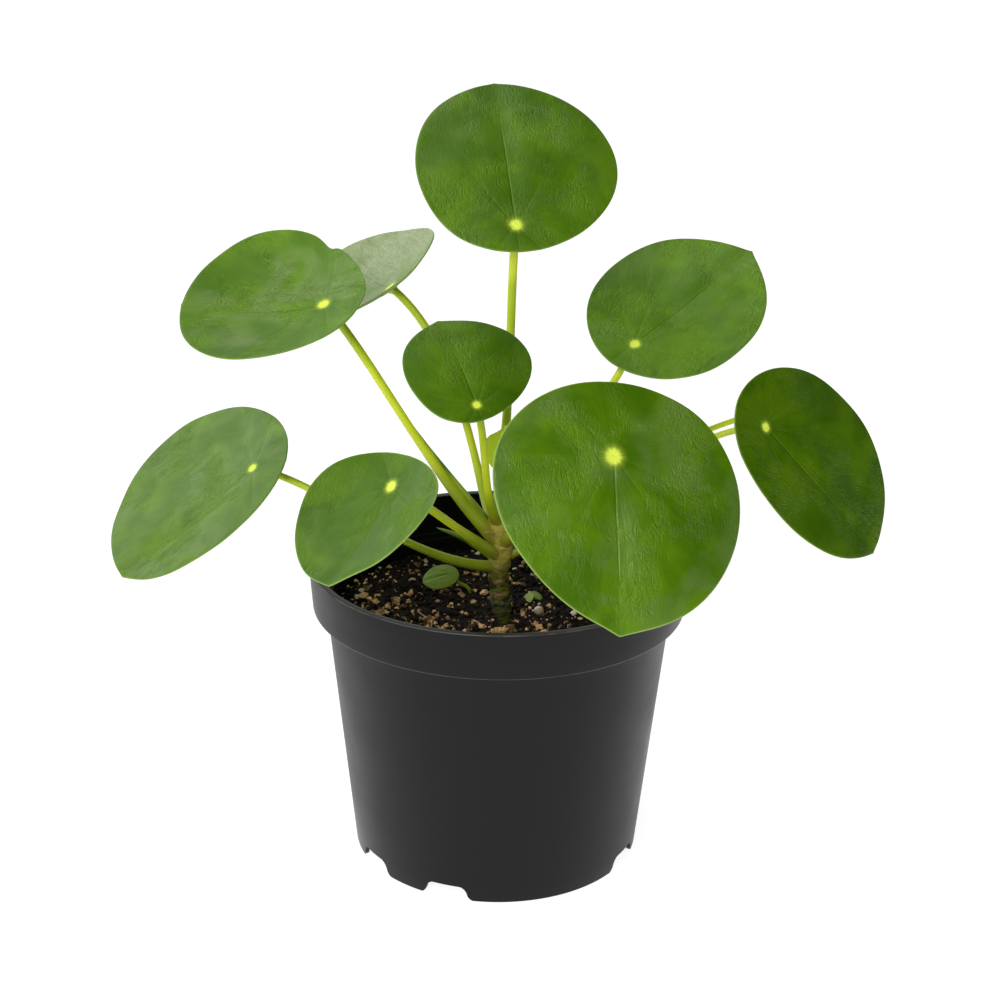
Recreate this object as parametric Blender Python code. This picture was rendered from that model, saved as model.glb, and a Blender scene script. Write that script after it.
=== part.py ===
"""Potted Chinese money plant (Pilea peperomioides) in a black nursery pot.

Millimetres are used for every value below and turned into metres by MM.
+Z is up, and the origin is on the pot's axis, on the surface that it stands on.
Azimuths are in degrees seen from above: 0 is the front (-Y), 90 is the right (+X).
"""
from collections import namedtuple
from math import atan2, copysign, cos, exp, hypot, pi, radians, sin, sqrt
import random

import bmesh
import bpy
from mathutils import Matrix, Vector

MM = 0.001
GAP = 0.3                      # left between a piece and what it rests in or grows from

# ---------------------------------------------------------------- pot
RIM_RADIUS = 52.5
POT_HEIGHT = 85.5
BASE_RADIUS = 40.2
BAND_HEIGHT = 13.1             # the wider band below the rim
BAND_FOOT_RADIUS = 51.5
BODY_TOP_RADIUS = 47.8         # just under the band's ledge
WALL = 1.2
LIP_WIDTH = 2.0                # the band's wall thickens up to its lip
LIP_ROUND = 0.4
FLOOR_UNDERSIDE = 4.8
POT_SIDES = 48
NOTCH_PAIRS = (-38, 82, 202)   # azimuths that the three pairs of notches are centred on
NOTCH_SPREAD = 18.7            # from a pair's centre to each of its notches
NOTCH_HEIGHT = 4.3
NOTCH_FOOT_HALF = 8.2          # half-width at the bottom edge
NOTCH_TOP_HALF = 3.6
NOTCH_CURVE = 1.5              # the higher, the steeper the middle of a notch's flank
NOTCH_STEPS = 8
NOTCH_INWARD = 4.0             # how far the cut reaches either side of the wall
NOTCH_OUTWARD = 3.0
DRAIN_RADIUS = 3.5
DRAIN_CIRCLE = 28
DRAIN_SIDES = 16
EDGE_EASE = 0.6                # softening of the band's lower corners

# ---------------------------------------------------------------- soil
SOIL_LEVEL = 69.0
SOIL_RELIEF = 0.35
SOIL_EDGE_DROP = 1.2           # how much lower the soil lies along the wall
# gentle waves of the surface: (turns along x, turns along y, phase, share of SOIL_RELIEF)
SOIL_WAVES = (
    (0.31, 0.27, 0.9, 0.5),
    (0.31, -0.27, 1.7, 0.5),
    (0.83, -0.55, 0.0, 0.6),
    (0.62, 0.71, 3.6, 0.5),
)
SOIL_RINGS = 7
SOIL_SIDES = 36
CRUMBS = 40
CRUMB_SEED = 11
CRUMB_SIZE = (1.0, 2.3)        # half-width of the smallest and the largest crumb
CRUMB_STRETCH = ((0.8, 1.4), (0.7, 1.0), (0.6, 0.9))   # least and most along x, y and z
CRUMB_TILT = 0.6
CRUMB_RAISED = 0.1             # share of its size that its middle stands above the soil
CRUMB_REACH = 0.9              # share of the soil's radius that crumbs lie within
HOLE_SIDES = 12
HOLE_REACH = 6.0               # how far a hole's cutter stands out of the soil
STEM_HOLE_GAP = 0.8
SPROUT_HOLE_GAP = 0.6
ROOTED_HOLE_GAP = 1.3
LOW_LEAF_SPOTS = ((-17.0, 10.0, 7.0), (9.5, 8.5, 4.5))   # (x, y, radius) with leaves just above

# ---------------------------------------------------------------- stem
# (x, y, z) of the stem's middle line, and its radius there
STEM_LINE = (
    ((1.6, -8.5, 58.0), 1.9),
    ((1.6, -8.5, 69.0), 1.9),
    ((0.8, -8.5, 75.0), 2.6),
    ((0.2, -8.5, 80.0), 2.6),
    ((-0.2, -8.5, 85.0), 2.7),
    ((0.8, -8.5, 91.0), 2.9),
    ((0.2, -8.5, 96.0), 2.8),
    ((-0.8, -8.3, 100.0), 2.4),
    ((-1.0, -8.2, 102.5), 1.9),
)
STEM_SIDES = 12
STEM_STEPS = 34
SCAR_HEIGHTS = (73.5, 78.6, 82.5, 87.0, 92.5, 97.5)
SCAR_SWELL = 0.45
SCAR_HALF_HEIGHT = 0.7
STUB_LENGTH = 4.6              # least length from the stem's middle line to a stalk
STUB_FLARE = 0.35              # a stub is this much wider than its stalk
STUB_ROOT = 0.9                # its width in the stem, as a share of its width at the stalk
STUB_SIDES = 10

# ---------------------------------------------------------------- leaves
BLADE_THICKNESS = 0.9
BLADE_SIDES = 26
BLADE_RINGS = (0.42, 0.76, 1.0)
SMALL_BLADE = 20               # a blade shorter than this has fewer sides and rings
SMALL_BLADE_SIDES = 14
SMALL_BLADE_RINGS = (0.6, 1.0)
TIP_SPREAD = 0.22              # how far round the outline the drawn-out tip fades, in radians
CREASE_HALF_WIDTH = 0.06       # of the blade's width
CREASE_RUN = 0.25              # share of the length over which the crease deepens from the hub
WAVE_HEIGHT = 0.006            # of the blade's length
WAVES = ((4, 1.0), (7, 0.6))   # waves round the blade, and the share of each
WAVE_REACH = 0.62              # share of the length at which the waves are full
BOSS_RING = 2.6                # where the blade's underside swells towards the stalk
BOSS_RING_ROOM = 0.8           # and at most this share of the way to the blade's next ring
BOSS_DEPTH = 2.4
BOSS_LEAST = 0.3               # share of that depth under the smallest blades
BOSS_FULL_LENGTH = 28          # blades of this length and more have the full depth
BOSS_FLARE = 0.3               # a boss is this much wider than its stalk
BOSS_CLEAR = 0.2               # least distance from the underside to a slanted boss's end
STALK_SIDES = 8
STALK_STEPS = 11
STALK_TAPER = 0.35             # share of the stalk over which it thins from its base

Leaf = namedtuple("Leaf", "name hub faces upward tip_turn "
                          "length width hub_share egg tip tip_at skew lop dome crease "
                          "node side rise arrives pulls thick")

# hub: where the stalk meets the blade. faces, upward: the way the blade looks.
# tip_turn: how far the tip is turned from straight downhill, anticlockwise seen from above the blade.
# hub_share: the hub's distance from the base edge, as a share of the length.
# egg: how much wider the base half is. tip, tip_at: how far the tip is drawn out, and how many
# degrees round the outline it stands from the end of the length.
# skew: how far one side is pushed towards the tip. lop: how much wider that side is than the other.
# dome: positive curls the margin down, negative cups it up. crease: depth of the midrib fold.
# node, side, rise: where and which way the stalk leaves the stem. arrives: its way at the blade.
# pulls: how far it keeps each of those two ways. thick: its radius at the stem and at the blade.
LEAVES = (
    Leaf("top_leaf", (3.2, 2, 178.5), 7, 44.7, 182.4,
         55.1, 54.2, 0.149, -0.01, 0.033, -0.6, 0.006, -0.054, 0.12, 0.6,
         101.5, 139, 79, (11, 73), (25, 21), (1.6, 1.15)),
    Leaf("upper_left_leaf", (-47.3, 0, 157.0), -37, 59.5, -53.6,
         48.3, 48.4, 0.25, -0.16, 0.02, -6.9, 0.071, -0.084, -0.36, 0.5,
         92.5, -92, 47.7, (-76, 51), (24, 17), (2.0, 1.15)),
    Leaf("back_left_leaf", (-31.8, 36, 152.5), -92, 53.9, -68.1,
         40.9, 43.5, 0.22, 0.17, 0.046, 3.3, 0.052, 0.044, -0.46, 0.4,
         97.5, -157, 15, (-117, 34), (12, 27), (1.7, 1.1)),
    Leaf("centre_leaf", (-6.2, -30, 139.4), 15, 45.9, 189.5,
         31.9, 34.4, 0.143, -0.07, 0.058, -1.5, -0.06, -0.083, 0.23, 0.4,
         99, -17, 45.7, (-18, 60), (11, 13), (1.5, 1.0)),
    Leaf("upper_right_leaf", (36.6, 20, 141.3), -14, 54.6, 143.2,
         50.3, 48.5, 0.177, 0.01, 0.058, -3, -0.025, 0.012, -0.07, 0.5,
         96.5, 128, 44, (98, 65), (21, 17), (1.6, 1.05)),
    Leaf("front_right_leaf", (28.1, -44, 130.9), 19, 36.8, 3.3,
         63.2, 64.1, 0.325, 0.10, 0.037, -13.9, 0.077, 0.007, 0.21, 1.2,
         93, 39, 41, (31, 41), (19, 15), (1.9, 1.4)),
    Leaf("far_right_leaf", (71.5, 0, 124.3), 41, 29, 45.8,
         61.3, 47.2, 0.182, -0.06, 0.034, -22.2, -0.081, 0.053, 0.09, 0.6,
         88.5, 96, 24.6, (69, 10), (26, 20), (1.4, 0.9)),
    Leaf("hidden_right_leaf", (76.5, 24, 121.5), 45, 36, 50,
         26, 25, 0.2, 0.0, 0.02, 0.0, 0.0, 0.0, 0.1, 0.3,
         91.5, 117, 28.9, (92, 15), (25, 21), (1.2, 0.8)),
    Leaf("lower_left_leaf", (-67.6, 0, 110.7), -53, 50.5, -43.9,
         57.0, 57.1, 0.202, -0.14, 0.027, 44.4, 0.069, -0.01, -0.05, 0.6,
         86, -67, 12.8, (-78, 18), (23, 19), (1.5, 1.0)),
    Leaf("front_left_leaf", (-28, -32, 117.8), -54, 42.3, 5.7,
         40.0, 45.3, 0.227, 0.25, 0.036, 18, -0.029, -0.028, -0.25, 0.5,
         89, -50, 37.2, (-52, 34), (15, 13), (1.6, 1.1)),
    Leaf("young_leaf", (0.2, -15, 119.5), -20, 25, 178,
         15, 11, 0.22, -0.15, 0.05, 0.0, 0.0, 0.0, -0.6, 0.3,
         101.5, 45, 62, (-15, 60), (5, 4), (0.8, 0.6)),
    Leaf("plantlet_leaf", (-13.9, 11, 75.5), 0, 60, -80,
         10.3, 8.2, 0.25, 0.0, 0.02, 0.0, 0.0, 0.0, 0.3, 0.2,
         0, -70, 86, (-75, 52), (6, 3), (0.6, 0.5)),
)
# a leaf whose stalk rises from the soil, and where it stands
ROOTED = {"plantlet_leaf": (-7.5, 13.5, 66.0)}

# seedling leaves at soil level, on one short shoot from SPROUT_ROOT
SPROUT_ROOT = (9.4, 9.5, 64.0)
SPROUT_TOP = (9.3, 9.0, 73.0)
SPROUT_RADIUS = 0.7
SPROUT_LEAVES = (
    Leaf("sprout_left", (8.6, 8.4, 73.2), -50, 62, 20, 5.5, 4.5, 0.2, 0.0, 0.02, 0.0, 0.0, 0.0, 0.2, 0.0,
         0, 0, 0, (-30, 60), (0, 0), (0.5, 0.4)),
    Leaf("sprout_right", (10.2, 9.2, 73.5), 60, 66, 10, 5.0, 4.0, 0.2, 0.0, 0.02, 0.0, 0.0, 0.0, 0.2, 0.0,
         0, 0, 0, (60, 55), (0, 0), (0.5, 0.4)),
)

STIPULE_SIDES = 6
STIPULE_SHAPE = ((0.0, 1.0), (0.6, 0.8), (1.0, 0.2))   # (share of its length, share of its radius)
# pointed scales and sheaths beside the stalks: (height, azimuth, rise, length, radius)
STIPULES = (
    (99.0, -110, 44, 23.3, 0.9),
    (95.5, -40, 20, 7, 0.8),
    (88.0, -120, 18, 21.7, 0.9),
    (79.0, 30, 55, 6, 0.6),
    (80.0, -60, 45, 5.5, 0.6),
)

GREEN = (0.10, 0.24, 0.03)
YELLOW_GREEN = (0.30, 0.40, 0.05)


def heading(azimuth, rise=0.0):
    """Unit vector at an azimuth from the front and an angle above the level."""
    a = radians(azimuth)
    r = radians(rise)
    return Vector((cos(r) * sin(a), -cos(r) * cos(a), sin(r)))


def clear_scene():
    for obj in list(bpy.data.objects):
        bpy.data.objects.remove(obj, do_unlink=True)


def make_material(name, colour, roughness, metallic=0.0):
    material = bpy.data.materials.new(name)
    material.use_nodes = True
    shader = material.node_tree.nodes["Principled BSDF"]
    shader.inputs["Base Color"].default_value = (*colour, 1.0)
    shader.inputs["Roughness"].default_value = roughness
    shader.inputs["Metallic"].default_value = metallic
    return material


def add_object(name, points, faces, material=None, smooth_angle=40):
    """A closed mesh object from points in millimetres, its faces turned outward."""
    mesh = bpy.data.meshes.new(name)
    mesh.from_pydata([Vector(p) * MM for p in points], [], faces)
    bm = bmesh.new()
    bm.from_mesh(mesh)
    bmesh.ops.recalc_face_normals(bm, faces=bm.faces)
    bm.to_mesh(mesh)
    bm.free()
    obj = bpy.data.objects.new(name, mesh)
    bpy.context.scene.collection.objects.link(obj)
    if material:
        mesh.materials.append(material)
    mesh.shade_smooth()
    mesh.set_sharp_from_angle(angle=radians(smooth_angle))
    return obj


def boolean(obj, others, operation):
    """Join or cut obj with every object in others, apply it and remove them."""
    tools = bpy.data.collections.new("tools")
    bpy.context.scene.collection.children.link(tools)
    for other in others:
        tools.objects.link(other)
        bpy.context.scene.collection.objects.unlink(other)
    modifier = obj.modifiers.new("join", "BOOLEAN")
    modifier.operation = operation
    modifier.operand_type = "COLLECTION"
    modifier.collection = tools
    modifier.solver = "EXACT"
    depsgraph = bpy.context.evaluated_depsgraph_get()
    result = bpy.data.meshes.new_from_object(obj.evaluated_get(depsgraph))
    obj.modifiers.clear()
    obj.data = result
    for other in others:
        bpy.data.objects.remove(other, do_unlink=True)
    bpy.data.collections.remove(tools)


# ---------------------------------------------------------------- general forms
def turned(name, profile, sides, material=None):
    """A solid turned about Z from a closed loop of (radius, height)."""
    points = []
    rings = []
    for radius, height in profile:
        if radius == 0:
            rings.append([len(points)] * sides)
            points.append((0, 0, height))
            continue
        rings.append(list(range(len(points), len(points) + sides)))
        for i in range(sides):
            turn = 2 * pi * i / sides
            points.append((radius * cos(turn), radius * sin(turn), height))
    faces = []
    for lower, upper in zip(rings, rings[1:] + rings[:1]):
        if lower[0] == lower[1] and upper[0] == upper[1]:
            continue
        for i in range(sides):
            j = (i + 1) % sides
            corners = [lower[i], lower[j], upper[j], upper[i]]
            faces.append(list(dict.fromkeys(corners)))
    return add_object(name, points, faces, material)


def swept(name, line, radii, sides, material=None):
    """A round bar along a line of points, with flat ends square to it."""
    points = []
    tangent = (line[1] - line[0]).normalized()
    across = tangent.orthogonal().normalized()
    for i, centre in enumerate(line):
        ahead = line[min(i + 1, len(line) - 1)]
        behind = line[max(i - 1, 0)]
        tangent = (ahead - behind).normalized()
        across = (across - tangent * across.dot(tangent)).normalized()
        other = tangent.cross(across)
        for k in range(sides):
            turn = 2 * pi * k / sides
            points.append(centre + (across * cos(turn) + other * sin(turn)) * radii[i])
    faces = [list(range(sides)), list(range(len(points) - sides, len(points)))]
    for i in range(len(line) - 1):
        for k in range(sides):
            k2 = (k + 1) % sides
            a = i * sides
            b = a + sides
            faces.append([a + k, a + k2, b + k2, b + k])
    return add_object(name, points, faces, material)


# ---------------------------------------------------------------- pot
def body_radius(height):
    """Outer radius of the tapered body at a height."""
    ledge = POT_HEIGHT - BAND_HEIGHT
    return BASE_RADIUS + (BODY_TOP_RADIUS - BASE_RADIUS) * height / ledge


def notch_azimuths():
    return [centre + side * NOTCH_SPREAD for centre in NOTCH_PAIRS for side in (-1, 1)]


def notch_cutter(azimuth):
    """A block with S-curved sides that cuts one notch in the bottom edge."""
    edge = [(-NOTCH_FOOT_HALF, -1.0), (NOTCH_FOOT_HALF, -1.0)]
    middle = (NOTCH_FOOT_HALF + NOTCH_TOP_HALF) / 2
    reach = (NOTCH_FOOT_HALF - NOTCH_TOP_HALF) / 2
    flank = []
    for step in range(NOTCH_STEPS + 1):
        share = step / NOTCH_STEPS
        swing = 1 - 2 * share
        across = middle + reach * copysign(abs(swing) ** NOTCH_CURVE, swing)
        flank.append((across, NOTCH_HEIGHT * (1 - cos(pi * share)) / 2))
    edge += flank
    edge += [(-across, up) for across, up in reversed(flank)]
    outward = heading(azimuth)
    sideways = Vector((0, 0, 1)).cross(outward)
    points = []
    for radius in (BASE_RADIUS - NOTCH_INWARD, BASE_RADIUS + NOTCH_OUTWARD):
        for across, up in edge:
            points.append(outward * radius + sideways * across + Vector((0, 0, up)))
    count = len(edge)
    faces = [list(range(count)), list(range(count, 2 * count))]
    for i in range(count):
        j = (i + 1) % count
        faces.append([i, j, j + count, i + count])
    return add_object("notch", points, faces)


def drain_cutter(x, y):
    through = (Vector((x, y, FLOOR_UNDERSIDE - WALL)), Vector((x, y, FLOOR_UNDERSIDE + 2 * WALL)))
    return swept("drain", through, (DRAIN_RADIUS, DRAIN_RADIUS), DRAIN_SIDES)


def make_pot():
    plastic = make_material("pot_plastic", (0.02, 0.02, 0.021), 0.45)
    ledge = POT_HEIGHT - BAND_HEIGHT
    floor_top = FLOOR_UNDERSIDE + WALL
    profile = [
        (BASE_RADIUS, 0),
        (BODY_TOP_RADIUS, ledge),
        (BAND_FOOT_RADIUS - EDGE_EASE, ledge),
        (BAND_FOOT_RADIUS, ledge + EDGE_EASE),
        (RIM_RADIUS, POT_HEIGHT - LIP_ROUND),
        (RIM_RADIUS - LIP_ROUND, POT_HEIGHT),
        (RIM_RADIUS - LIP_WIDTH + LIP_ROUND, POT_HEIGHT),
        (RIM_RADIUS - LIP_WIDTH, POT_HEIGHT - LIP_ROUND),
        (BAND_FOOT_RADIUS - WALL, ledge + WALL + EDGE_EASE),
        (BAND_FOOT_RADIUS - WALL - EDGE_EASE, ledge + WALL),
        (BODY_TOP_RADIUS - WALL, ledge + WALL),
        (body_radius(floor_top) - WALL, floor_top),
        (0, floor_top),
        (0, FLOOR_UNDERSIDE),
        (body_radius(FLOOR_UNDERSIDE) - WALL, FLOOR_UNDERSIDE),
        (BASE_RADIUS - WALL, 0),
    ]
    pot = turned("pot", profile, POT_SIDES, plastic)
    cutters = [drain_cutter(0, 0)]
    for azimuth in notch_azimuths():
        cutters.append(notch_cutter(azimuth))
        spot = heading(azimuth) * DRAIN_CIRCLE
        cutters.append(drain_cutter(spot.x, spot.y))
    boolean(pot, cutters, "DIFFERENCE")
    pot.data.shade_smooth()
    pot.data.set_sharp_from_angle(angle=radians(35))


# ---------------------------------------------------------------- soil
def soil_height(x, y):
    """Height of the uneven soil surface."""
    waves = 0.0
    for along_x, along_y, phase, share in SOIL_WAVES:
        waves += share * sin(along_x * x + along_y * y + phase)
    return SOIL_LEVEL + SOIL_RELIEF * waves


def inner_radius(height):
    return body_radius(height) - WALL


def crumb(x, y, size, draw):
    """One angular crumb of bark or perlite, half sunk in the soil."""
    bm = bmesh.new()
    bmesh.ops.create_icosphere(bm, subdivisions=1, radius=1.0)
    stretch = Matrix.Diagonal([draw.uniform(least, most) for least, most in CRUMB_STRETCH])
    turn = Matrix.Rotation(draw.uniform(0, 2 * pi), 3, "Z")
    turn = turn @ Matrix.Rotation(draw.uniform(-CRUMB_TILT, CRUMB_TILT), 3, "X")
    centre = Vector((x, y, soil_height(x, y) + size * CRUMB_RAISED))
    points = [centre + turn @ (stretch @ v.co) * size for v in bm.verts]
    faces = [[v.index for v in face.verts] for face in bm.faces]
    bm.free()
    return add_object("crumb", points, faces)


def make_soil(plants):
    """The potting mix, with a plain hole for each (x, y, radius, depth) in plants."""
    mix = make_material("soil_mix", (0.03, 0.02, 0.013), 0.95)
    bottom = FLOOR_UNDERSIDE + WALL + GAP
    top_radius = inner_radius(SOIL_LEVEL - 1) - GAP
    points = [(0, 0, soil_height(0, 0))]
    for ring in range(1, SOIL_RINGS + 1):
        radius = top_radius * ring / SOIL_RINGS
        for i in range(SOIL_SIDES):
            turn = 2 * pi * (i + 0.5 * (ring % 2)) / SOIL_SIDES
            x = radius * cos(turn)
            y = radius * sin(turn)
            height = SOIL_LEVEL - SOIL_EDGE_DROP if ring == SOIL_RINGS else soil_height(x, y)
            points.append((x, y, height))
    foot_radius = inner_radius(bottom) - GAP
    for i in range(SOIL_SIDES):
        turn = 2 * pi * (i + 0.5 * (SOIL_RINGS % 2)) / SOIL_SIDES
        points.append((foot_radius * cos(turn), foot_radius * sin(turn), bottom))
    points.append((0, 0, bottom))
    faces = []
    for i in range(SOIL_SIDES):
        j = (i + 1) % SOIL_SIDES
        faces.append([0, 1 + i, 1 + j])
        faces.append([len(points) - 1, len(points) - 1 - SOIL_SIDES + j, len(points) - 1 - SOIL_SIDES + i])
        for ring in range(SOIL_RINGS):
            a = 1 + ring * SOIL_SIDES
            b = a + SOIL_SIDES
            if ring == SOIL_RINGS - 1 or ring % 2 == 1:
                faces += [[a + i, b + i, a + j], [a + j, b + i, b + j]]
            else:
                faces += [[a + i, b + i, b + j], [a + i, b + j, a + j]]
    soil = add_object("soil", points, faces, mix)
    holes = []
    for x, y, radius, depth in plants:
        line = (Vector((x, y, SOIL_LEVEL - depth)), Vector((x, y, SOIL_LEVEL + HOLE_REACH)))
        holes.append(swept("hole", line, (radius, radius), HOLE_SIDES))
    boolean(soil, holes, "DIFFERENCE")
    draw = random.Random(CRUMB_SEED)
    crumbs = []
    bare = [(x, y, radius) for x, y, radius, _ in plants] + list(LOW_LEAF_SPOTS)
    while len(crumbs) < CRUMBS:
        away = top_radius * CRUMB_REACH * draw.random() ** 0.5
        turn = draw.uniform(0, 2 * pi)
        x = away * cos(turn)
        y = away * sin(turn)
        size = draw.uniform(*CRUMB_SIZE)
        reach = size * CRUMB_STRETCH[0][1] + GAP
        if all(hypot(x - bx, y - by) > radius + reach for bx, by, radius in bare):
            crumbs.append(crumb(x, y, size, draw))
    boolean(soil, crumbs, "UNION")
    soil.data.shade_flat()


# ---------------------------------------------------------------- stem
def stem_at(height):
    """Middle of the stem and its plain radius at a height."""
    for (low, low_radius), (high, high_radius) in zip(STEM_LINE, STEM_LINE[1:]):
        if height <= high[2]:
            share = max(0.0, (height - low[2]) / (high[2] - low[2]))
            middle = Vector(low).lerp(Vector(high), share)
            return middle, low_radius + (high_radius - low_radius) * share
    return Vector(STEM_LINE[-1][0]), STEM_LINE[-1][1]


def scar_swell(height):
    """How far the ring-like leaf scars stand out at a height."""
    return sum(SCAR_SWELL * exp(-((height - scar) / SCAR_HALF_HEIGHT) ** 2) for scar in SCAR_HEIGHTS)


def stub_length(leaf):
    """How far out a stalk has to start so that its flat end clears the stem's side or top."""
    _, radius = stem_at(leaf.node)
    rise = radians(leaf.rise)
    thick = leaf.thick[0]
    beside = (radius + SCAR_SWELL + GAP + thick * sin(rise)) / cos(rise)
    above = (STEM_LINE[-1][0][2] + GAP - leaf.node + thick * cos(rise)) / sin(rise)
    return max(STUB_LENGTH, min(beside, above))


def stalk_start(leaf):
    """Where a leaf's stalk begins, in the soil or clear of the stem, and its direction there."""
    way = heading(leaf.side, leaf.rise)
    if leaf.name in ROOTED:
        return Vector(ROOTED[leaf.name]), way
    middle, _ = stem_at(leaf.node)
    return middle + way * stub_length(leaf), way


def make_stem():
    bark = make_material("stem_bark", (0.10, 0.075, 0.025), 0.7)
    low = STEM_LINE[0][0][2]
    high = STEM_LINE[-1][0][2]
    heights = [low + (high - low) * i / STEM_STEPS for i in range(STEM_STEPS + 1)]
    line = [stem_at(height)[0] for height in heights]
    radii = [stem_at(height)[1] + scar_swell(height) for height in heights]
    stem = swept("main_stem", line, radii, STEM_SIDES, bark)
    stubs = []
    for leaf in LEAVES:
        if leaf.name in ROOTED:
            continue
        start, way = stalk_start(leaf)
        root = stem_at(leaf.node)[0]
        end = start - way * GAP
        wide = leaf.thick[0] + STUB_FLARE
        stubs.append(swept("stub", (root, end), (wide * STUB_ROOT, wide), STUB_SIDES))
    for height, side, rise, length, radius in STIPULES:
        root = stem_at(height)[0]
        way = heading(side, rise) * length
        line = [root + way * along for along, _ in STIPULE_SHAPE]
        radii = [radius * wide for _, wide in STIPULE_SHAPE]
        stubs.append(swept("stipule", line, radii, STIPULE_SIDES))
    boolean(stem, stubs, "UNION")
    stem.data.shade_smooth()
    stem.data.set_sharp_from_angle(angle=radians(40))


# ---------------------------------------------------------------- leaves
def blade_axes(leaf):
    """Unit vectors towards the tip, across the blade and out of its upper face."""
    normal = heading(leaf.faces, leaf.upward)
    downhill = heading(leaf.faces)
    downhill = (downhill - normal * downhill.dot(normal)).normalized()
    turn = radians(leaf.tip_turn)
    tipward = downhill * cos(turn) + normal.cross(downhill) * sin(turn)
    return tipward, normal.cross(tipward), normal


def edge_point(leaf, turn):
    """A point of the blade's edge, as (towards tip, across) from the hub."""
    across = leaf.width / 2 * sin(turn) * (1 - leaf.egg * cos(turn))
    across += leaf.lop * leaf.width * sin(turn) ** 2
    forward = (0.5 - leaf.hub_share) * leaf.length + leaf.length / 2 * cos(turn) + leaf.skew * across
    tip_turn = radians(leaf.tip_at)
    off = (turn - tip_turn + pi) % (2 * pi) - pi
    drawn = leaf.tip * leaf.length * exp(-abs(off) / TIP_SPREAD)
    return forward + drawn * cos(tip_turn), across + drawn * sin(tip_turn)


def outline(leaf, sides):
    """The blade's edge as points, the first of them at the tip."""
    return [edge_point(leaf, radians(leaf.tip_at) + 2 * pi * i / sides) for i in range(sides)]


def blade_height(leaf, forward, across):
    """Height of the blade's upper face over the plane through its hub."""
    away = hypot(forward, across)
    height = -leaf.dome * away ** 2 / leaf.length
    tip_forward, tip_across = edge_point(leaf, radians(leaf.tip_at))
    midrib = atan2(tip_across, tip_forward)
    bearing = atan2(across, forward)
    along = away * cos(bearing - midrib)
    aside = away * sin(bearing - midrib)
    fold = exp(-(aside / (CREASE_HALF_WIDTH * leaf.width)) ** 2)
    height -= leaf.crease * fold * min(1.0, max(0.0, along) / (CREASE_RUN * leaf.length))
    wave = sum(share * sin(turns * (bearing + leaf.faces)) for turns, share in WAVES)
    grown = min(1.0, away / (WAVE_REACH * leaf.length)) ** 3
    return height + WAVE_HEIGHT * leaf.length * wave * grown


def boss_depth(leaf):
    """How far the boss under a blade reaches down its stalk, further where that comes at a slant."""
    grown = BOSS_DEPTH * min(1.0, BOSS_LEAST + (1 - BOSS_LEAST) * leaf.length / BOSS_FULL_LENGTH)
    square = heading(*leaf.arrives).dot(heading(leaf.faces, leaf.upward))
    slant = sqrt(1 - square ** 2)
    clear = BLADE_THICKNESS + BOSS_CLEAR + (leaf.thick[1] + BOSS_FLARE) * slant
    return max(grown, clear / square)


def make_blade(leaf, material):
    """A thin blade with matching faces above and below, and a boss for the stalk."""
    tipward, sideways, normal = blade_axes(leaf)
    hub = Vector(leaf.hub)
    small = leaf.length < SMALL_BLADE
    count = SMALL_BLADE_SIDES if small else BLADE_SIDES
    edge = outline(leaf, count)
    shares = SMALL_BLADE_RINGS if small else BLADE_RINGS
    nearest = min(hypot(forward, across) for forward, across in edge)
    ring_radius = min(BOSS_RING, BOSS_RING_ROOM * shares[0] * nearest)
    rings = []
    for share in (0.0,) + shares:
        ring = []
        for forward, across in edge:
            if share == 0.0:
                scale = ring_radius / hypot(forward, across)
            else:
                scale = share
            ring.append((forward * scale, across * scale))
        rings.append(ring)
    top = [hub]
    for ring in rings:
        for forward, across in ring:
            height = blade_height(leaf, forward, across)
            top.append(hub + tipward * forward + sideways * across + normal * height)
    under = [point - normal * BLADE_THICKNESS for point in top[1:]]
    arrive = heading(*leaf.arrives)
    boss_middle = hub - arrive * boss_depth(leaf)
    boss_width = leaf.thick[1] + BOSS_FLARE
    boss = []
    for forward, across in rings[0]:
        out = tipward * forward + sideways * across
        out = out - arrive * out.dot(arrive)
        boss.append(boss_middle + out.normalized() * boss_width)
    points = top + under + boss + [boss_middle]
    faces = []
    first_under = len(top)
    first_boss = first_under + len(under)
    last = len(points) - 1
    for i in range(count):
        j = (i + 1) % count
        faces.append([0, 1 + i, 1 + j])
        for ring in range(len(rings) - 1):
            for offset in (1 + ring * count, first_under + ring * count):
                inner_i, inner_j = offset + i, offset + j
                outer_i, outer_j = inner_i + count, inner_j + count
                faces += [[inner_i, outer_i, outer_j], [inner_i, outer_j, inner_j]]
        rim = 1 + (len(rings) - 1) * count
        rim_under = first_under + (len(rings) - 1) * count
        faces += [[rim + i, rim_under + i, rim_under + j], [rim + i, rim_under + j, rim + j]]
        faces += [[first_under + i, first_boss + i, first_boss + j],
                  [first_under + i, first_boss + j, first_under + j]]
        faces.append([first_boss + i, last, first_boss + j])
    return add_object(leaf.name + "_blade", points, faces, material)


def make_stalk(leaf, material):
    """The leaf's stalk, from its stub on the stem to the boss under the blade."""
    start, leaves_way = stalk_start(leaf)
    arrive = heading(*leaf.arrives)
    end = Vector(leaf.hub) - arrive * (boss_depth(leaf) + GAP)
    first_pull, last_pull = leaf.pulls
    first = start + leaves_way * first_pull
    second = end - arrive * last_pull
    line = []
    radii = []
    for i in range(STALK_STEPS + 1):
        t = i / STALK_STEPS
        point = start * (1 - t) ** 3 + first * 3 * (1 - t) ** 2 * t
        point += second * 3 * (1 - t) * t ** 2 + end * t ** 3
        line.append(point)
        taper = min(1.0, t / STALK_TAPER)
        radii.append(leaf.thick[0] + (leaf.thick[1] - leaf.thick[0]) * taper)
    swept(leaf.name + "_stalk", line, radii, STALK_SIDES, material)


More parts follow.
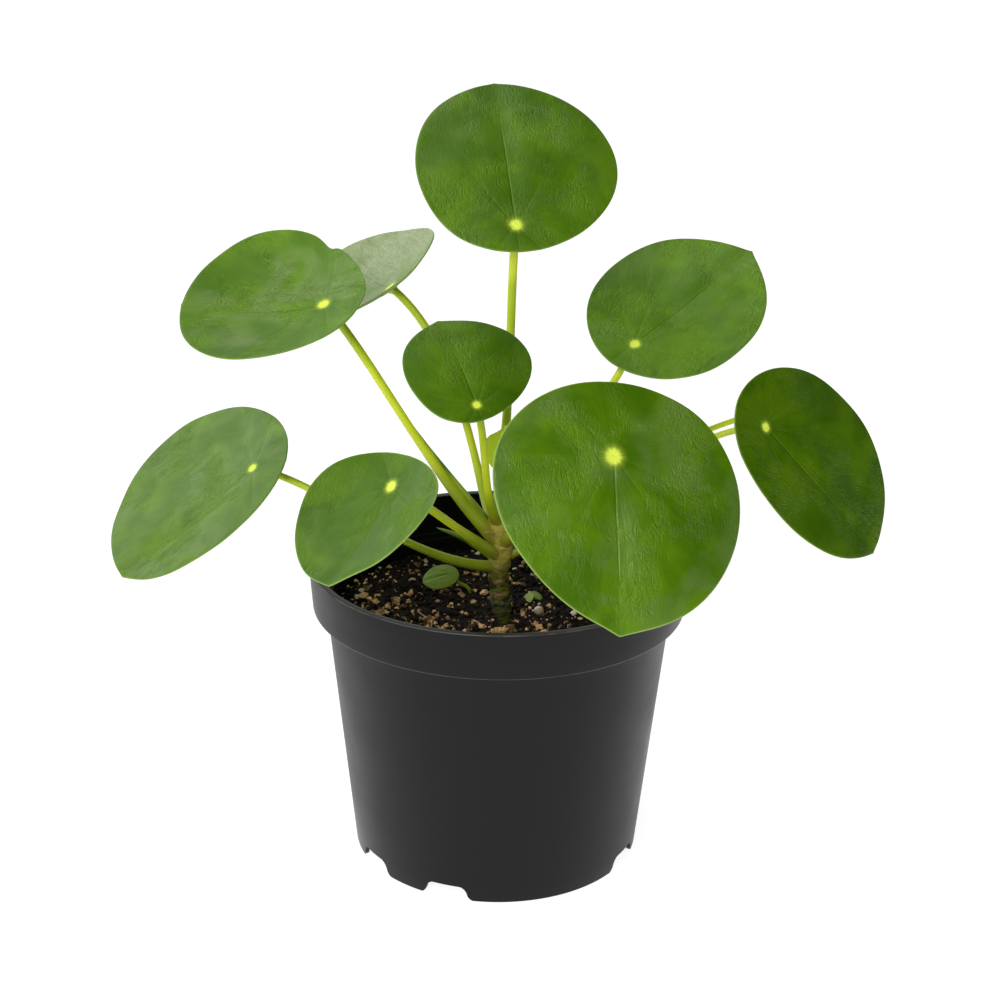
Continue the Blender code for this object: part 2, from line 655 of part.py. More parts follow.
def make_leaves():
    for leaf in LEAVES:
        blade_green = make_material(leaf.name + "_green", GREEN, 0.35)
        stalk_green = make_material(leaf.name + "_stalk_green", YELLOW_GREEN, 0.45)
        make_blade(leaf, blade_green)
        make_stalk(leaf, stalk_green)


def make_sprout():
    """A seedling: two small leaves grown together with one short shoot."""
    green = make_material("sprout_green", YELLOW_GREEN, 0.5)
    line = (Vector(SPROUT_ROOT), Vector(SPROUT_TOP))
    shoot = swept("sprout", line, (SPROUT_RADIUS, SPROUT_RADIUS), STALK_SIDES, green)
    boolean(shoot, [make_blade(leaf, green) for leaf in SPROUT_LEAVES], "UNION")


def planting_holes():
    """The (x, y, radius, depth) of each hole that something stands in."""
    foot, radius = STEM_LINE[0]
    plants = [(foot, radius + STEM_HOLE_GAP), (SPROUT_ROOT, SPROUT_RADIUS + SPROUT_HOLE_GAP)]
    for leaf in LEAVES:
        if leaf.name in ROOTED:
            plants.append((ROOTED[leaf.name], leaf.thick[0] + ROOTED_HOLE_GAP))
    return [(x, y, wide, SOIL_LEVEL - z + 1) for (x, y, z), wide in plants]


def main():
    clear_scene()
    make_pot()
    make_soil(planting_holes())
    make_stem()
    make_leaves()
    make_sprout()


main()
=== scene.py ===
# %% [markdown]
# # A potted Chinese money plant
# The plant has round, thick, satiny leaves, each held near its middle by a long stalk. The stalks grow
# from one short stem in a black nursery pot of coarse potting mix.
#
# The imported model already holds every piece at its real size. This script loads it as a fixed frame and
# puts a finer piece in place of each solid: the same curves with many more points, plus veins, crumbs and
# finishes.
# Sizes are in millimetres and become metres through MM. +Z is up and the pot's axis is at x = y = 0.

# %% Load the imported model
import random
from collections import namedtuple
from math import atan2, copysign, cos, exp, hypot, pi, radians, sin, sqrt

import bmesh
import bpy
import numpy as np
from mathutils import Matrix, Vector, noise


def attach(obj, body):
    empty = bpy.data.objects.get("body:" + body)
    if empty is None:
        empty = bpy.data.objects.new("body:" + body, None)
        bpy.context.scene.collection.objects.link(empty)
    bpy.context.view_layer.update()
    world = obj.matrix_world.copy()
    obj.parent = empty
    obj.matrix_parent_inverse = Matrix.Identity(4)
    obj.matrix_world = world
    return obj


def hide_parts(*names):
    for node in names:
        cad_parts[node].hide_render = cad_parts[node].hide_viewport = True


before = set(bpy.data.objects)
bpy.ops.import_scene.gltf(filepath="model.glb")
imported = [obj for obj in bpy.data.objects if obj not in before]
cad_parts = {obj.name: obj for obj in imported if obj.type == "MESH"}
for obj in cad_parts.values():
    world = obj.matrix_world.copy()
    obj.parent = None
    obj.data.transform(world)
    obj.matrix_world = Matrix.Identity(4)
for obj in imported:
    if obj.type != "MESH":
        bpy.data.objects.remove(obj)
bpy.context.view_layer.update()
MM = 0.001

# %% [markdown]
# ## Camera, floor and light
# A small product is shot from a little above, with a short telephoto lens that keeps the pot's sides
# straight. A strong softbox stands in front, a wide one behind at the left makes the satin sheen on the
# leaves, and a weak one hangs overhead. The room is white behind and at the left and dim elsewhere, so
# leaves that turn away stay deep green. The floor glows a little itself, like a light table: that is the
# simplest way to a white ground without washing out the plant. Past the floor's edge the camera sees white.

# %% Camera
CAMERA_PLACE = (0.0, -0.5214, 0.2998)
CAMERA_PITCH = -20.75          # degrees below level
CAMERA_ROLL = 0.76
LENS = 73.4

lens = bpy.data.cameras.new("camera")
lens.lens = LENS
lens.sensor_width = 36
camera = bpy.data.objects.new("camera", lens)
aim = Matrix.Rotation(radians(90 + CAMERA_PITCH), 4, "X") @ Matrix.Rotation(radians(CAMERA_ROLL), 4, "Z")
camera.matrix_world = Matrix.Translation(CAMERA_PLACE) @ aim
bpy.context.scene.collection.objects.link(camera)
bpy.context.scene.camera = camera
bpy.context.scene.view_settings.view_transform = "Standard"
print("camera at", CAMERA_PLACE, "metres, looking", -CAMERA_PITCH, "degrees down")

# %% A helper that wires shader nodes
class Wires:
    """Adds nodes to one shader tree, so that a pattern reads as a list of short steps."""

    def __init__(self, tree):
        self.tree = tree

    def put(self, socket, value):
        if isinstance(value, bpy.types.NodeSocket):
            self.tree.links.new(value, socket)
        else:
            socket.default_value = value

    def add(self, kind, inputs=(), **settings):
        node = self.tree.nodes.new(kind)
        for name, value in settings.items():
            setattr(node, name, value)
        for name, value in dict(inputs).items():
            self.put(node.inputs[name], value)
        return node

    def dress(self, node, **values):
        """Sets a node's sockets by name, with _ for a space, and gives its outputs."""
        for name, value in values.items():
            self.put(node.inputs[name.replace("_", " ")], value)
        return node.outputs

    def math(self, operation, *values, clamp=False):
        kind = "ShaderNodeMath"
        return self.add(kind, enumerate(values), operation=operation, use_clamp=clamp).outputs[0]

    def plus(self, first, second):
        return self.math("ADD", first, second)

    def minus(self, first, second):
        return self.math("SUBTRACT", first, second)

    def times(self, first, second):
        return self.math("MULTIPLY", first, second)

    def over(self, first, second):
        return self.math("DIVIDE", first, second)

    def most(self, first, second):
        return self.math("MAXIMUM", first, second)

    def apart(self, first, second):
        return self.math("ABSOLUTE", self.minus(first, second))

    def far(self, x, y):
        """The length of (x, y)."""
        return self.math("SQRT", self.plus(self.times(x, x), self.times(y, y)))

    def fade(self, value, start, end, low=0.0, high=1.0):
        """low until value reaches start, then smoothly up or down to high at end."""
        spread = {"Value": value, "From Min": start, "From Max": end, "To Min": low, "To Max": high}
        return self.add("ShaderNodeMapRange", spread, interpolation_type="SMOOTHSTEP").outputs[0]

    def mix(self, share, first, second):
        return self.add("ShaderNodeMix", {0: share, 6: first, 7: second}, data_type="RGBA").outputs[2]

    def noise(self, place, scale, detail=2.0, rough=0.5, distortion=0.0):
        node = self.add("ShaderNodeTexNoise")
        return self.dress(node, Vector=place, Scale=scale, Detail=detail, Roughness=rough,
                          Distortion=distortion)["Fac"]

    def group(self, tree, **inputs):
        return self.dress(self.add("ShaderNodeGroup", node_tree=tree), **inputs)

    def bump(self, height, distance, strength):
        node = self.add("ShaderNodeBump")
        return self.dress(node, Height=height, Distance=distance, Strength=strength)["Normal"]

    def spot(self):
        """Where a point lies on its piece, in metres."""
        return self.add("ShaderNodeTexCoord").outputs["Object"]

    def noted(self, name):
        """The vector that the mesh holds for each point under a name."""
        return self.add("ShaderNodeAttribute", attribute_name=name).outputs["Vector"]

    def split(self, vector):
        return self.add("ShaderNodeSeparateXYZ", {"Vector": vector}).outputs

    def vector(self, x, y, z):
        return self.add("ShaderNodeCombineXYZ", enumerate((x, y, z))).outputs[0]


# %% Colours, materials and groups
def colour(red, green, blue):
    """A colour given as screen values from 0 to 255, as the linear numbers that shaders use."""
    def linear(level):
        level /= 255
        return level / 12.92 if level < 0.04045 else ((level + 0.055) / 1.055) ** 2.4
    return (linear(red), linear(green), linear(blue), 1.0)


def new_material(name):
    """A material with a Principled shader, and the wires of its tree."""
    material = bpy.data.materials.new(name)
    material.use_nodes = True
    return material, Wires(material.node_tree), material.node_tree.nodes["Principled BSDF"]


def new_group(name, inputs, outputs):
    """A node group with named float or vector inputs and float outputs, and its wires."""
    tree = bpy.data.node_groups.new(name, "ShaderNodeTree")
    for label, kind, value in inputs:
        socket = tree.interface.new_socket(label, in_out="INPUT", socket_type=kind)
        if value is not None:
            socket.default_value = value
    for label in outputs:
        tree.interface.new_socket(label, in_out="OUTPUT", socket_type="NodeSocketFloat")
    wires = Wires(tree)
    return tree, wires, wires.add("NodeGroupInput").outputs, wires.add("NodeGroupOutput").inputs


print("a mid grey on the screen is", round(colour(128, 128, 128)[0], 3), "as a linear number")

# %% Floor, surroundings and lights
FLOOR_HALF = 4.0
FLOOR_GLOW = 0.92
ROOM_DIM = 0.04                # the dark room in front, above and at the right
ROOM_BRIGHT = 0.9              # the white wall behind and at the left
WALL_WAY = (-0.45, 0.89, 0.0)
LIGHTS = (                     # name, place, aim, side in metres, watts
    ("softbox_front", (-0.45, -1.25, 0.95), (0.0, 0.0, 0.12), 0.7, 11.0),
    ("softbox_left", (-1.15, 0.5, 0.75), (0.0, 0.0, 0.12), 1.3, 3.8),
    ("softbox_top", (-0.3, 0.0, 0.75), (0.0, 0.0, 0.1), 0.6, 1.4),
)

floor_mesh = bpy.data.meshes.new("floor")
corners = [(-FLOOR_HALF, -FLOOR_HALF, 0), (FLOOR_HALF, -FLOOR_HALF, 0), (FLOOR_HALF, FLOOR_HALF, 0),
           (-FLOOR_HALF, FLOOR_HALF, 0)]
floor_mesh.from_pydata(corners, [], [(0, 1, 2, 3)])
floor = bpy.data.objects.new("floor", floor_mesh)
bpy.context.scene.collection.objects.link(floor)
pale, wires, shader = new_material("pale_floor")
wires.dress(shader, Base_Color=(0.35, 0.35, 0.35, 1), Roughness=1.0, Specular_IOR_Level=0.0,
            Emission_Color=(1, 1, 1, 1), Emission_Strength=FLOOR_GLOW)
floor_mesh.materials.append(pale)

world = bpy.data.worlds.new("white_room")
world.use_nodes = True
bpy.context.scene.world = world
wires = Wires(world.node_tree)
way = wires.add("ShaderNodeTexCoord").outputs["Generated"]
toward = wires.add("ShaderNodeVectorMath", {0: way, 1: WALL_WAY}, operation="DOT_PRODUCT").outputs["Value"]
room = wires.fade(toward, 0.0, 0.85, ROOM_DIM, ROOM_BRIGHT)
seen = wires.add("ShaderNodeLightPath").outputs["Is Camera Ray"]
wires.dress(world.node_tree.nodes["Background"], Color=(1, 1, 1, 1), Strength=wires.most(room, seen))

for name, place, target, side, watts in LIGHTS:
    lamp = bpy.data.lights.new(name, "AREA")
    lamp.size = side
    lamp.energy = watts
    light = bpy.data.objects.new(name, lamp)
    light.location = place
    light.rotation_euler = (Vector(target) - Vector(place)).to_track_quat("-Z", "Y").to_euler()
    light.visible_camera = False
    bpy.context.scene.collection.objects.link(light)
print("camera, floor and", len(LIGHTS), "softboxes")

# %% [markdown]
# ## Shared effects
# Several finishes need the same small things: a fine grain with slow patches, and soil dust that settles on
# surfaces that face up. Each is a node group, made once and placed with its own values, so that a change
# reaches every finish. A group only gives out masks and values: the shader stays in the material.

# %% Grain and dust groups
FLOAT = "NodeSocketFloat"
VECTOR = "NodeSocketVector"

grain_group, wires, given, result = new_group(
    "fine_grain", [("Place", VECTOR, None), ("Size", FLOAT, 1.0)], ["Grain", "Patches"])
per_size = wires.over(1.0, wires.times(given["Size"], MM))
wires.put(result["Grain"], wires.noise(given["Place"], per_size, 3.0, 0.6))
wires.put(result["Patches"], wires.noise(given["Place"], wires.times(per_size, 0.06), 3.0, 0.55))

dust_group, wires, given, result = new_group(
    "settled_dust", [("Place", VECTOR, None), ("Amount", FLOAT, 0.5), ("Speck Size", FLOAT, 1.0)], ["Mask"])
facing = wires.split(wires.add("ShaderNodeNewGeometry").outputs["Normal"])["Z"]
upward = wires.fade(facing, -0.1, 0.9, 0.25, 1.0)
per_size = wires.over(1.0, wires.times(given["Speck Size"], MM))
specks = wires.noise(given["Place"], per_size, 4.0, 0.7)
drift = wires.noise(given["Place"], wires.times(per_size, 0.09), 2.0)
specks = wires.plus(specks, wires.times(wires.minus(drift, 0.5), 0.35))
limit = wires.minus(0.8, wires.times(given["Amount"], 0.35))
dusty = wires.math("MULTIPLY", wires.minus(specks, limit), 9.0, clamp=True)
wires.put(result["Mask"], wires.times(dusty, upward))
print("groups:", grain_group.name, dust_group.name)

# %% [markdown]
# ## The leaves' shape
# Each leaf is a rounded blade held near one end by its stalk. One row of numbers says where the hub is, the
# way the blade looks, its outline and its stalk's way. The outline is an ellipse pulled out at the tip,
# pushed aside and made lopsided. The blade sags or cups with the square of the distance from the hub.
# These are the frame's own formulas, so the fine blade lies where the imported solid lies.

# %% The leaves in numbers
Leaf = namedtuple("Leaf", "name hub faces upward tip_turn "
                          "length width hub_share egg tip tip_at skew lop dome crease "
                          "node side rise arrives pulls thick")
# hub: where the stalk meets the blade. faces, upward: the way the blade looks, in degrees; 0 is the front.
# tip_turn: how far the tip is turned from straight downhill. hub_share: the hub's distance from the base.
# egg, tip, tip_at, skew, lop: the outline, with the tip tip_at degrees round it.
# dome: how far the margin curls down. crease: depth of the midrib fold.
# node, side, rise: where and which way the stalk leaves the stem. arrives: its way at the blade.
# pulls: how far it keeps each of those two ways. thick: its radius at the stem and at the blade.
LEAVES = (
    Leaf("top_leaf", (3.2, 2, 178.5), 7, 44.7, 182.4,
         55.1, 54.2, 0.149, -0.01, 0.033, -0.6, 0.006, -0.054, 0.12, 0.6,
         101.5, 139, 79, (11, 73), (25, 21), (1.6, 1.15)),
    Leaf("upper_left_leaf", (-47.3, 0, 157.0), -37, 59.5, -53.6,
         48.3, 48.4, 0.25, -0.16, 0.02, -6.9, 0.071, -0.084, -0.36, 0.5,
         92.5, -92, 47.7, (-76, 51), (24, 17), (2.0, 1.15)),
    Leaf("back_left_leaf", (-31.8, 36, 152.5), -92, 53.9, -68.1,
         40.9, 43.5, 0.22, 0.17, 0.046, 3.3, 0.052, 0.044, -0.46, 0.4,
         97.5, -157, 15, (-117, 34), (12, 27), (1.7, 1.1)),
    Leaf("centre_leaf", (-6.2, -30, 139.4), 15, 45.9, 189.5,
         31.9, 34.4, 0.143, -0.07, 0.058, -1.5, -0.06, -0.083, 0.23, 0.4,
         99, -17, 45.7, (-18, 60), (11, 13), (1.5, 1.0)),
    Leaf("upper_right_leaf", (36.6, 20, 141.3), -14, 54.6, 143.2,
         50.3, 48.5, 0.177, 0.01, 0.058, -3, -0.025, 0.012, -0.07, 0.5,
         96.5, 128, 44, (98, 65), (21, 17), (1.6, 1.05)),
    Leaf("front_right_leaf", (28.1, -44, 130.9), 19, 36.8, 3.3,
         63.2, 64.1, 0.325, 0.10, 0.037, -13.9, 0.077, 0.007, 0.21, 1.2,
         93, 39, 41, (31, 41), (19, 15), (1.9, 1.4)),
    Leaf("far_right_leaf", (71.5, 0, 124.3), 41, 29, 45.8,
         61.3, 47.2, 0.182, -0.06, 0.034, -22.2, -0.081, 0.053, 0.09, 0.6,
         88.5, 96, 24.6, (69, 10), (26, 20), (1.4, 0.9)),
    Leaf("hidden_right_leaf", (76.5, 24, 121.5), 45, 36, 50,
         26, 25, 0.2, 0.0, 0.02, 0.0, 0.0, 0.0, 0.1, 0.3,
         91.5, 117, 28.9, (92, 15), (25, 21), (1.2, 0.8)),
    Leaf("lower_left_leaf", (-67.6, 0, 110.7), -53, 50.5, -43.9,
         57.0, 57.1, 0.202, -0.14, 0.027, 44.4, 0.069, -0.01, -0.05, 0.6,
         86, -67, 12.8, (-78, 18), (23, 19), (1.5, 1.0)),
    Leaf("front_left_leaf", (-28, -32, 117.8), -54, 42.3, 5.7,
         40.0, 45.3, 0.227, 0.25, 0.036, 18, -0.029, -0.028, -0.25, 0.5,
         89, -50, 37.2, (-52, 34), (15, 13), (1.6, 1.1)),
    Leaf("young_leaf", (0.2, -15, 119.5), -20, 25, 178,
         15, 11, 0.22, -0.15, 0.05, 0.0, 0.0, 0.0, -0.6, 0.3,
         101.5, 45, 62, (-15, 60), (5, 4), (0.8, 0.6)),
    Leaf("plantlet_leaf", (-13.9, 11, 75.5), 0, 60, -80,
         10.3, 8.2, 0.25, 0.0, 0.02, 0.0, 0.0, 0.0, 0.3, 0.2,
         0, -70, 86, (-75, 52), (6, 3), (0.6, 0.5)),
)
ROOTED = {"plantlet_leaf": (-7.5, 13.5, 66.0)}
SPROUT_ROOT = (9.4, 9.5, 64.0)
SPROUT_TOP = (9.3, 9.0, 73.0)
SPROUT_LEAVES = (
    Leaf("sprout_left", (8.6, 8.4, 73.2), -50, 62, 20, 5.5, 4.5, 0.2, 0.0, 0.02, 0.0, 0.0, 0.0, 0.2, 0.0,
         0, 0, 0, (-30, 60), (0, 0), (0.5, 0.4)),
    Leaf("sprout_right", (10.2, 9.2, 73.5), 60, 66, 10, 5.0, 4.0, 0.2, 0.0, 0.02, 0.0, 0.0, 0.0, 0.2, 0.0,
         0, 0, 0, (60, 55), (0, 0), (0.5, 0.4)),
)
TIP_SPREAD = 0.22              # how far the drawn-out tip spreads, in radians round the blade
CREASE_HALF_WIDTH = 0.06       # as a share of the blade's width
CREASE_RUN = 0.25              # how soon the crease is at its deepest, as a share of the length
WAVE_HEIGHT = 0.006            # of the margin's waves, as a share of the length
WAVES = ((4, 1.0), (7, 0.6))   # waves round the margin, and their shares
WAVE_REACH = 0.62              # where the waves are full, as a share of the length
BLADE_THICKNESS = 0.9
# where the margin of a leaf is nicked: bearing from the hub, half-width in degrees, depth
NICKS = {"upper_left_leaf": (-98, 6, 4.0), "young_leaf": (15, 35, 5.5)}
GROWN_LENGTH = 40              # small features shrink with a blade that is shorter than this
print(len(LEAVES), "leaves and a sprout of", len(SPROUT_LEAVES))

# %% Directions, outline and height of a blade
def heading(azimuth, rise=0.0):
    """Unit vector at an azimuth from the front and an angle above the level."""
    a = radians(azimuth)
    r = radians(rise)
    return Vector((cos(r) * sin(a), -cos(r) * cos(a), sin(r)))


def growth(leaf):
    """The size of a leaf's small features, which is 1 where it is grown."""
    return min(1.0, leaf.length / GROWN_LENGTH)


def blade_axes(leaf):
    """Unit vectors towards the tip, across the blade and out of its upper face."""
    normal = heading(leaf.faces, leaf.upward)
    downhill = heading(leaf.faces)
    downhill = (downhill - normal * downhill.dot(normal)).normalized()
    turn = radians(leaf.tip_turn)
    tipward = downhill * cos(turn) + normal.cross(downhill) * sin(turn)
    return tipward, normal.cross(tipward), normal


def outline(leaf, turns):
    """How far forward and across the blade's edge lies, at each turn from the tip."""
    tip_turn = radians(leaf.tip_at)
    off = (turns + pi) % (2 * pi) - pi
    turns = turns + tip_turn
    across = leaf.width / 2 * np.sin(turns) * (1 - leaf.egg * np.cos(turns))
    across += leaf.lop * leaf.width * np.sin(turns) ** 2
    forward = (0.5 - leaf.hub_share) * leaf.length + leaf.length / 2 * np.cos(turns) + leaf.skew * across
    drawn = leaf.tip * leaf.length * np.exp(-np.abs(off) / TIP_SPREAD)
    forward, across = forward + drawn * cos(tip_turn), across + drawn * sin(tip_turn)
    if leaf.name in NICKS:
        bearing, spread, depth = NICKS[leaf.name]
        off = np.degrees(np.arctan2(across, forward)) - bearing
        keep = 1 - depth / leaf.length * np.exp(-(off / spread) ** 2)
        forward, across = forward * keep, across * keep
    return forward, across


def along_midrib(leaf, forward, across):
    """Distances along and beside the midrib, which runs from the hub to the tip."""
    tip_forward, tip_across = outline(leaf, np.zeros(1))
    midrib = atan2(tip_across[0], tip_forward[0])
    return forward * cos(midrib) + across * sin(midrib), across * cos(midrib) - forward * sin(midrib)


def blade_height(leaf, forward, across):
    """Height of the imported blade's upper face over the plane through its hub."""
    away = np.hypot(forward, across)
    height = -leaf.dome * away ** 2 / leaf.length
    along, aside = along_midrib(leaf, forward, across)
    fold = np.exp(-(aside / (CREASE_HALF_WIDTH * leaf.width)) ** 2)
    height -= leaf.crease * fold * np.clip(along / (CREASE_RUN * leaf.length), 0, 1)
    bearing = np.arctan2(across, forward)
    wave = sum(share * np.sin(turns * (bearing + leaf.faces)) for turns, share in WAVES)
    return height + WAVE_HEIGHT * leaf.length * wave * np.clip(away / (WAVE_REACH * leaf.length), 0, 1) ** 3


edge_forward, edge_across = outline(LEAVES[0], np.linspace(0, 2 * pi, 100))
print("the top leaf measures", round(np.ptp(edge_forward), 1), "by", round(np.ptp(edge_across), 1), "mm")

# %% [markdown]
# ## Veins and ripples
# A money plant's main veins leave the hub like spokes and bend towards the tip. On the upper face they lie
# in faint grooves, and the flesh between them is a little puffed. Broad grooves are real geometry here, so
# that they bend the light at every angle. The finest wrinkles come later, as bump in the finish.

# %% Fine relief of a blade
SPOKES = 10                    # main veins round the hub
SPOKE_BEND = 0.55              # how strongly they turn towards the tip on their way out
GROOVE_DEPTH = 0.05            # of a vein, in a grown leaf
GROOVE_HALF_WIDTH = 0.7
PUFF = 0.05                    # how far the flesh stands up between two veins
RIPPLE = 0.009                 # height of uneven ripples, as a share of the blade's length
RIPPLE_SIZE = 0.23             # their size, as a share of its length
HUB_DIMPLE = 0.3               # depth of the dip over the stalk
HUB_HALF_WIDTH = 1.6


def spoke_place(leaf, along, aside):
    """How many spokes round from the tip each place is, counted along the bent veins."""
    bearing = np.arctan2(aside, along)
    away = np.hypot(along, aside) / leaf.length
    return (bearing + SPOKE_BEND * np.sin(bearing) * away) / (2 * pi / SPOKES)


def relief(leaf, forward, across):
    """Grooves, puffed flesh, ripples and the dimple at the hub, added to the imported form."""
    away = np.hypot(forward, across)
    small = growth(leaf)
    place = spoke_place(leaf, *along_midrib(leaf, forward, across))
    aside = np.abs(place - np.round(place)) * 2 * pi / SPOKES * away
    grown = np.clip(away / (0.12 * leaf.length), 0, 1) * np.clip(1.25 - away / (0.6 * leaf.length), 0, 1)
    height = -GROOVE_DEPTH * small * np.exp(-(aside / GROOVE_HALF_WIDTH) ** 2) * grown
    height += PUFF * small * np.abs(np.sin(pi * place)) * grown
    height -= HUB_DIMPLE * small * np.exp(-(away / HUB_HALF_WIDTH) ** 2)
    return height


def ripples(leaf, forward, across, reach):
    """Slow unevenness that grows towards the margin, different on every leaf."""
    size = RIPPLE_SIZE * leaf.length
    heights = np.empty(forward.shape)
    for spot in np.ndindex(forward.shape):
        at = Vector((forward[spot] / size, across[spot] / size, leaf.faces + leaf.length))
        heights[spot] = noise.noise(at)
    return RIPPLE * leaf.length * heights * (0.35 + 0.65 * reach)


print("a blade has", SPOKES, "main veins,", round(360 / SPOKES), "degrees apart")

# %% Mesh helpers
def add_piece(name, points, faces, materials, smooth_angle=None):
    """A mesh object from points in millimetres, with its faces turned outward."""
    mesh = bpy.data.meshes.new(name)
    mesh.from_pydata((np.asarray(points, float) * MM).tolist(), [], faces)
    for material in materials:
        mesh.materials.append(material)
    mesh.shade_smooth()
    if smooth_angle:
        mesh.set_sharp_from_angle(angle=radians(smooth_angle))
    piece = bpy.data.objects.new(name, mesh)
    bpy.context.scene.collection.objects.link(piece)
    return piece


def note(piece, name, values):
    """Stores one vector for each point of a mesh, for its finish to read."""
    held = piece.data.attributes.new(name, "FLOAT_VECTOR", "POINT")
    held.data.foreach_set("vector", np.asarray(values, np.float32).ravel())


def ways_round(sides):
    """The cosine and sine of each step round a ring."""
    return [(cos(2 * pi * k / sides), sin(2 * pi * k / sides)) for k in range(sides)]


def grid_faces(rows, columns, start=0, flip=False, closed=False):
    """Quads between rings of points. Where closed, the last ring also joins the first."""
    faces = []
    for row in range(rows if closed else rows - 1):
        here = start + row * columns
        there = start + (row + 1) % rows * columns
        for column in range(columns):
            beside = (column + 1) % columns
            quad = (here + column, there + column, there + beside, here + beside)
            faces.append(quad[::-1] if flip else quad)
    return faces


def fan(tip, start, sides, flip=False):
    """Triangles from one point to a ring."""
    faces = [(tip, start + k, start + (k + 1) % sides) for k in range(sides)]
    return [face[::-1] for face in faces] if flip else faces


print("a ring of 4 points:", [(round(x), round(y)) for x, y in ways_round(4)])

# %% Make one blade
BLADE_SIDES = 168
BLADE_RINGS = 30
SMALL_LENGTH = 20              # a blade shorter than this has half the sides and rings
RIM_STEPS = 4                  # the margin's half-round, in this many steps
MARGIN_SHARE = 0.6             # the margin's thickness, as a share of the middle's


def blade_mesh(leaf, sides, rings):
    """Points, faces, a slot for each face and a place for each point of one blade."""
    tipward, sideways, normal = (np.array(axis) for axis in blade_axes(leaf))
    turns = 2 * pi * np.arange(sides) / sides
    edge_forward, edge_across = outline(leaf, turns)
    reach = np.linspace(0, 1, rings + 1)[1:] ** 0.9
    rim = reach[-1] - reach[-2]
    reach[-1] = 1 - 0.25 * rim
    thickness = BLADE_THICKNESS * (1 - (1 - MARGIN_SHARE) * reach ** 3)
    bow = np.linspace(0, pi, RIM_STEPS + 2)[1:-1]
    shares = np.concatenate([reach, 1 - 0.25 * rim * (1 - np.sin(bow)), reach[::-1]])
    drop = np.concatenate([0 * reach, thickness[-1] * (1 - np.cos(bow)) / 2, thickness[::-1]])
    forward = shares[:, None] * edge_forward
    across = shares[:, None] * edge_across
    depth = np.repeat(shares[:, None], sides, axis=1)
    height = blade_height(leaf, forward, across) + relief(leaf, forward, across)
    height += ripples(leaf, forward, across, depth) - drop[:, None]
    places = np.stack([*along_midrib(leaf, forward, across), depth], -1).reshape(-1, 3)
    hub = np.array(leaf.hub, float)
    points = hub + forward[..., None] * tipward + across[..., None] * sideways + height[..., None] * normal
    ends = [hub - normal * HUB_DIMPLE * growth(leaf), hub - normal * BLADE_THICKNESS]
    points = np.concatenate([points.reshape(-1, 3), ends])
    places = np.concatenate([places, np.zeros((2, 3))])
    count = len(shares)
    slots = [0 if row < rings - 1 + RIM_STEPS // 2 else 1 for row in range(count - 1) for _ in range(sides)]
    faces = grid_faces(count, sides) + fan(len(points) - 2, 0, sides)
    faces += fan(len(points) - 1, (count - 1) * sides, sides, flip=True)
    return points, faces, slots + [0] * sides + [1] * sides, places


def make_blade(leaf, upper, lower):
    share = 2 if leaf.length < SMALL_LENGTH else 1
    points, faces, slots, places = blade_mesh(leaf, BLADE_SIDES // share, BLADE_RINGS // share)
    blade = add_piece(leaf.name + "_blade_fine", points, faces, [upper, lower])
    blade.data.polygons.foreach_set("material_index", slots)
    note(blade, "leaf_place", places)
    return blade


# %% [markdown]
# ## The leaves' finish
# The upper face is satiny mid green. A pale spot marks the hub, where the stalk's flesh shows through, and
# thin paler veins run out from it. Fine streaks follow the veins, and a narrow yellow-green line edges the
# blade. All of it hangs on each point's place on its own leaf, so the pattern fits every blade and follows
# its bends. One group makes the masks, and both faces of the blade use them with their own colours.

# %% Leaf figure group
HUB_SIZES = {"centre_leaf": 0.65, "lower_left_leaf": 0.8, "far_right_leaf": 0.8, "upper_right_leaf": 0.85,
             "front_right_leaf": 1.35}         # of the pale spot, where it isn't 1
SPOKE_TURN = 2 * pi / SPOKES

leaf_group, wires, given, result = new_group(
    "leaf_figure",
    [("Place", VECTOR, None), ("Length", FLOAT, 50.0), ("Seed", FLOAT, 0.0), ("Hub Size", FLOAT, 1.0)],
    ["Hub", "Veins", "Margin", "Streaks", "Wrinkles", "Clouds", "Painted Sheen"])
forward, across, reach = wires.split(given["Place"])
flat = wires.vector(forward, across, given["Seed"])
away = wires.far(forward, across)
share = wires.over(away, given["Length"])
safe = wires.plus(away, 0.01)
ahead = wires.over(forward, safe)
aside = wires.over(across, safe)

bend = wires.times(wires.times(aside, share), SPOKE_BEND)
spoke = wires.over(wires.plus(wires.math("ARCTAN2", across, forward), bend), SPOKE_TURN)
off = wires.times(wires.times(wires.apart(spoke, wires.math("ROUND", spoke)), SPOKE_TURN), away)
strand = wires.times(wires.fade(off, 0.45, 0.0), wires.fade(share, 0.55, 0.1))
past_hub = wires.fade(wires.over(forward, given["Length"]), 0.0, 0.05)
midrib = wires.times(wires.fade(wires.math("ABSOLUTE", across), 0.4, 0.0), past_hub)
midrib = wires.times(midrib, wires.fade(share, 0.75, 0.25))
wires.put(result["Veins"], wires.most(wires.times(strand, 0.16), midrib))

outward = wires.plus(wires.times(share, 2.2), given["Seed"])
ring = wires.vector(wires.times(ahead, 5.0), wires.times(aside, 5.0), outward)
wires.put(result["Streaks"], wires.noise(ring, 2.3, 5.0, 0.6, 0.6))
ragged = wires.times(wires.minus(wires.noise(ring, 2.0, 2.0), 0.5), 1.6)
from_hub = wires.over(wires.plus(away, wires.times(ragged, 0.7)), given["Hub Size"])
halo = wires.times(wires.fade(from_hub, 3.1, 0.8), 0.35)
wires.put(result["Hub"], wires.most(wires.fade(from_hub, 2.3, 0.9), halo))
gap = wires.minus(wires.over(away, wires.plus(reach, 0.0001)), away)
wires.put(result["Margin"], wires.fade(gap, 0.4, 0.05))

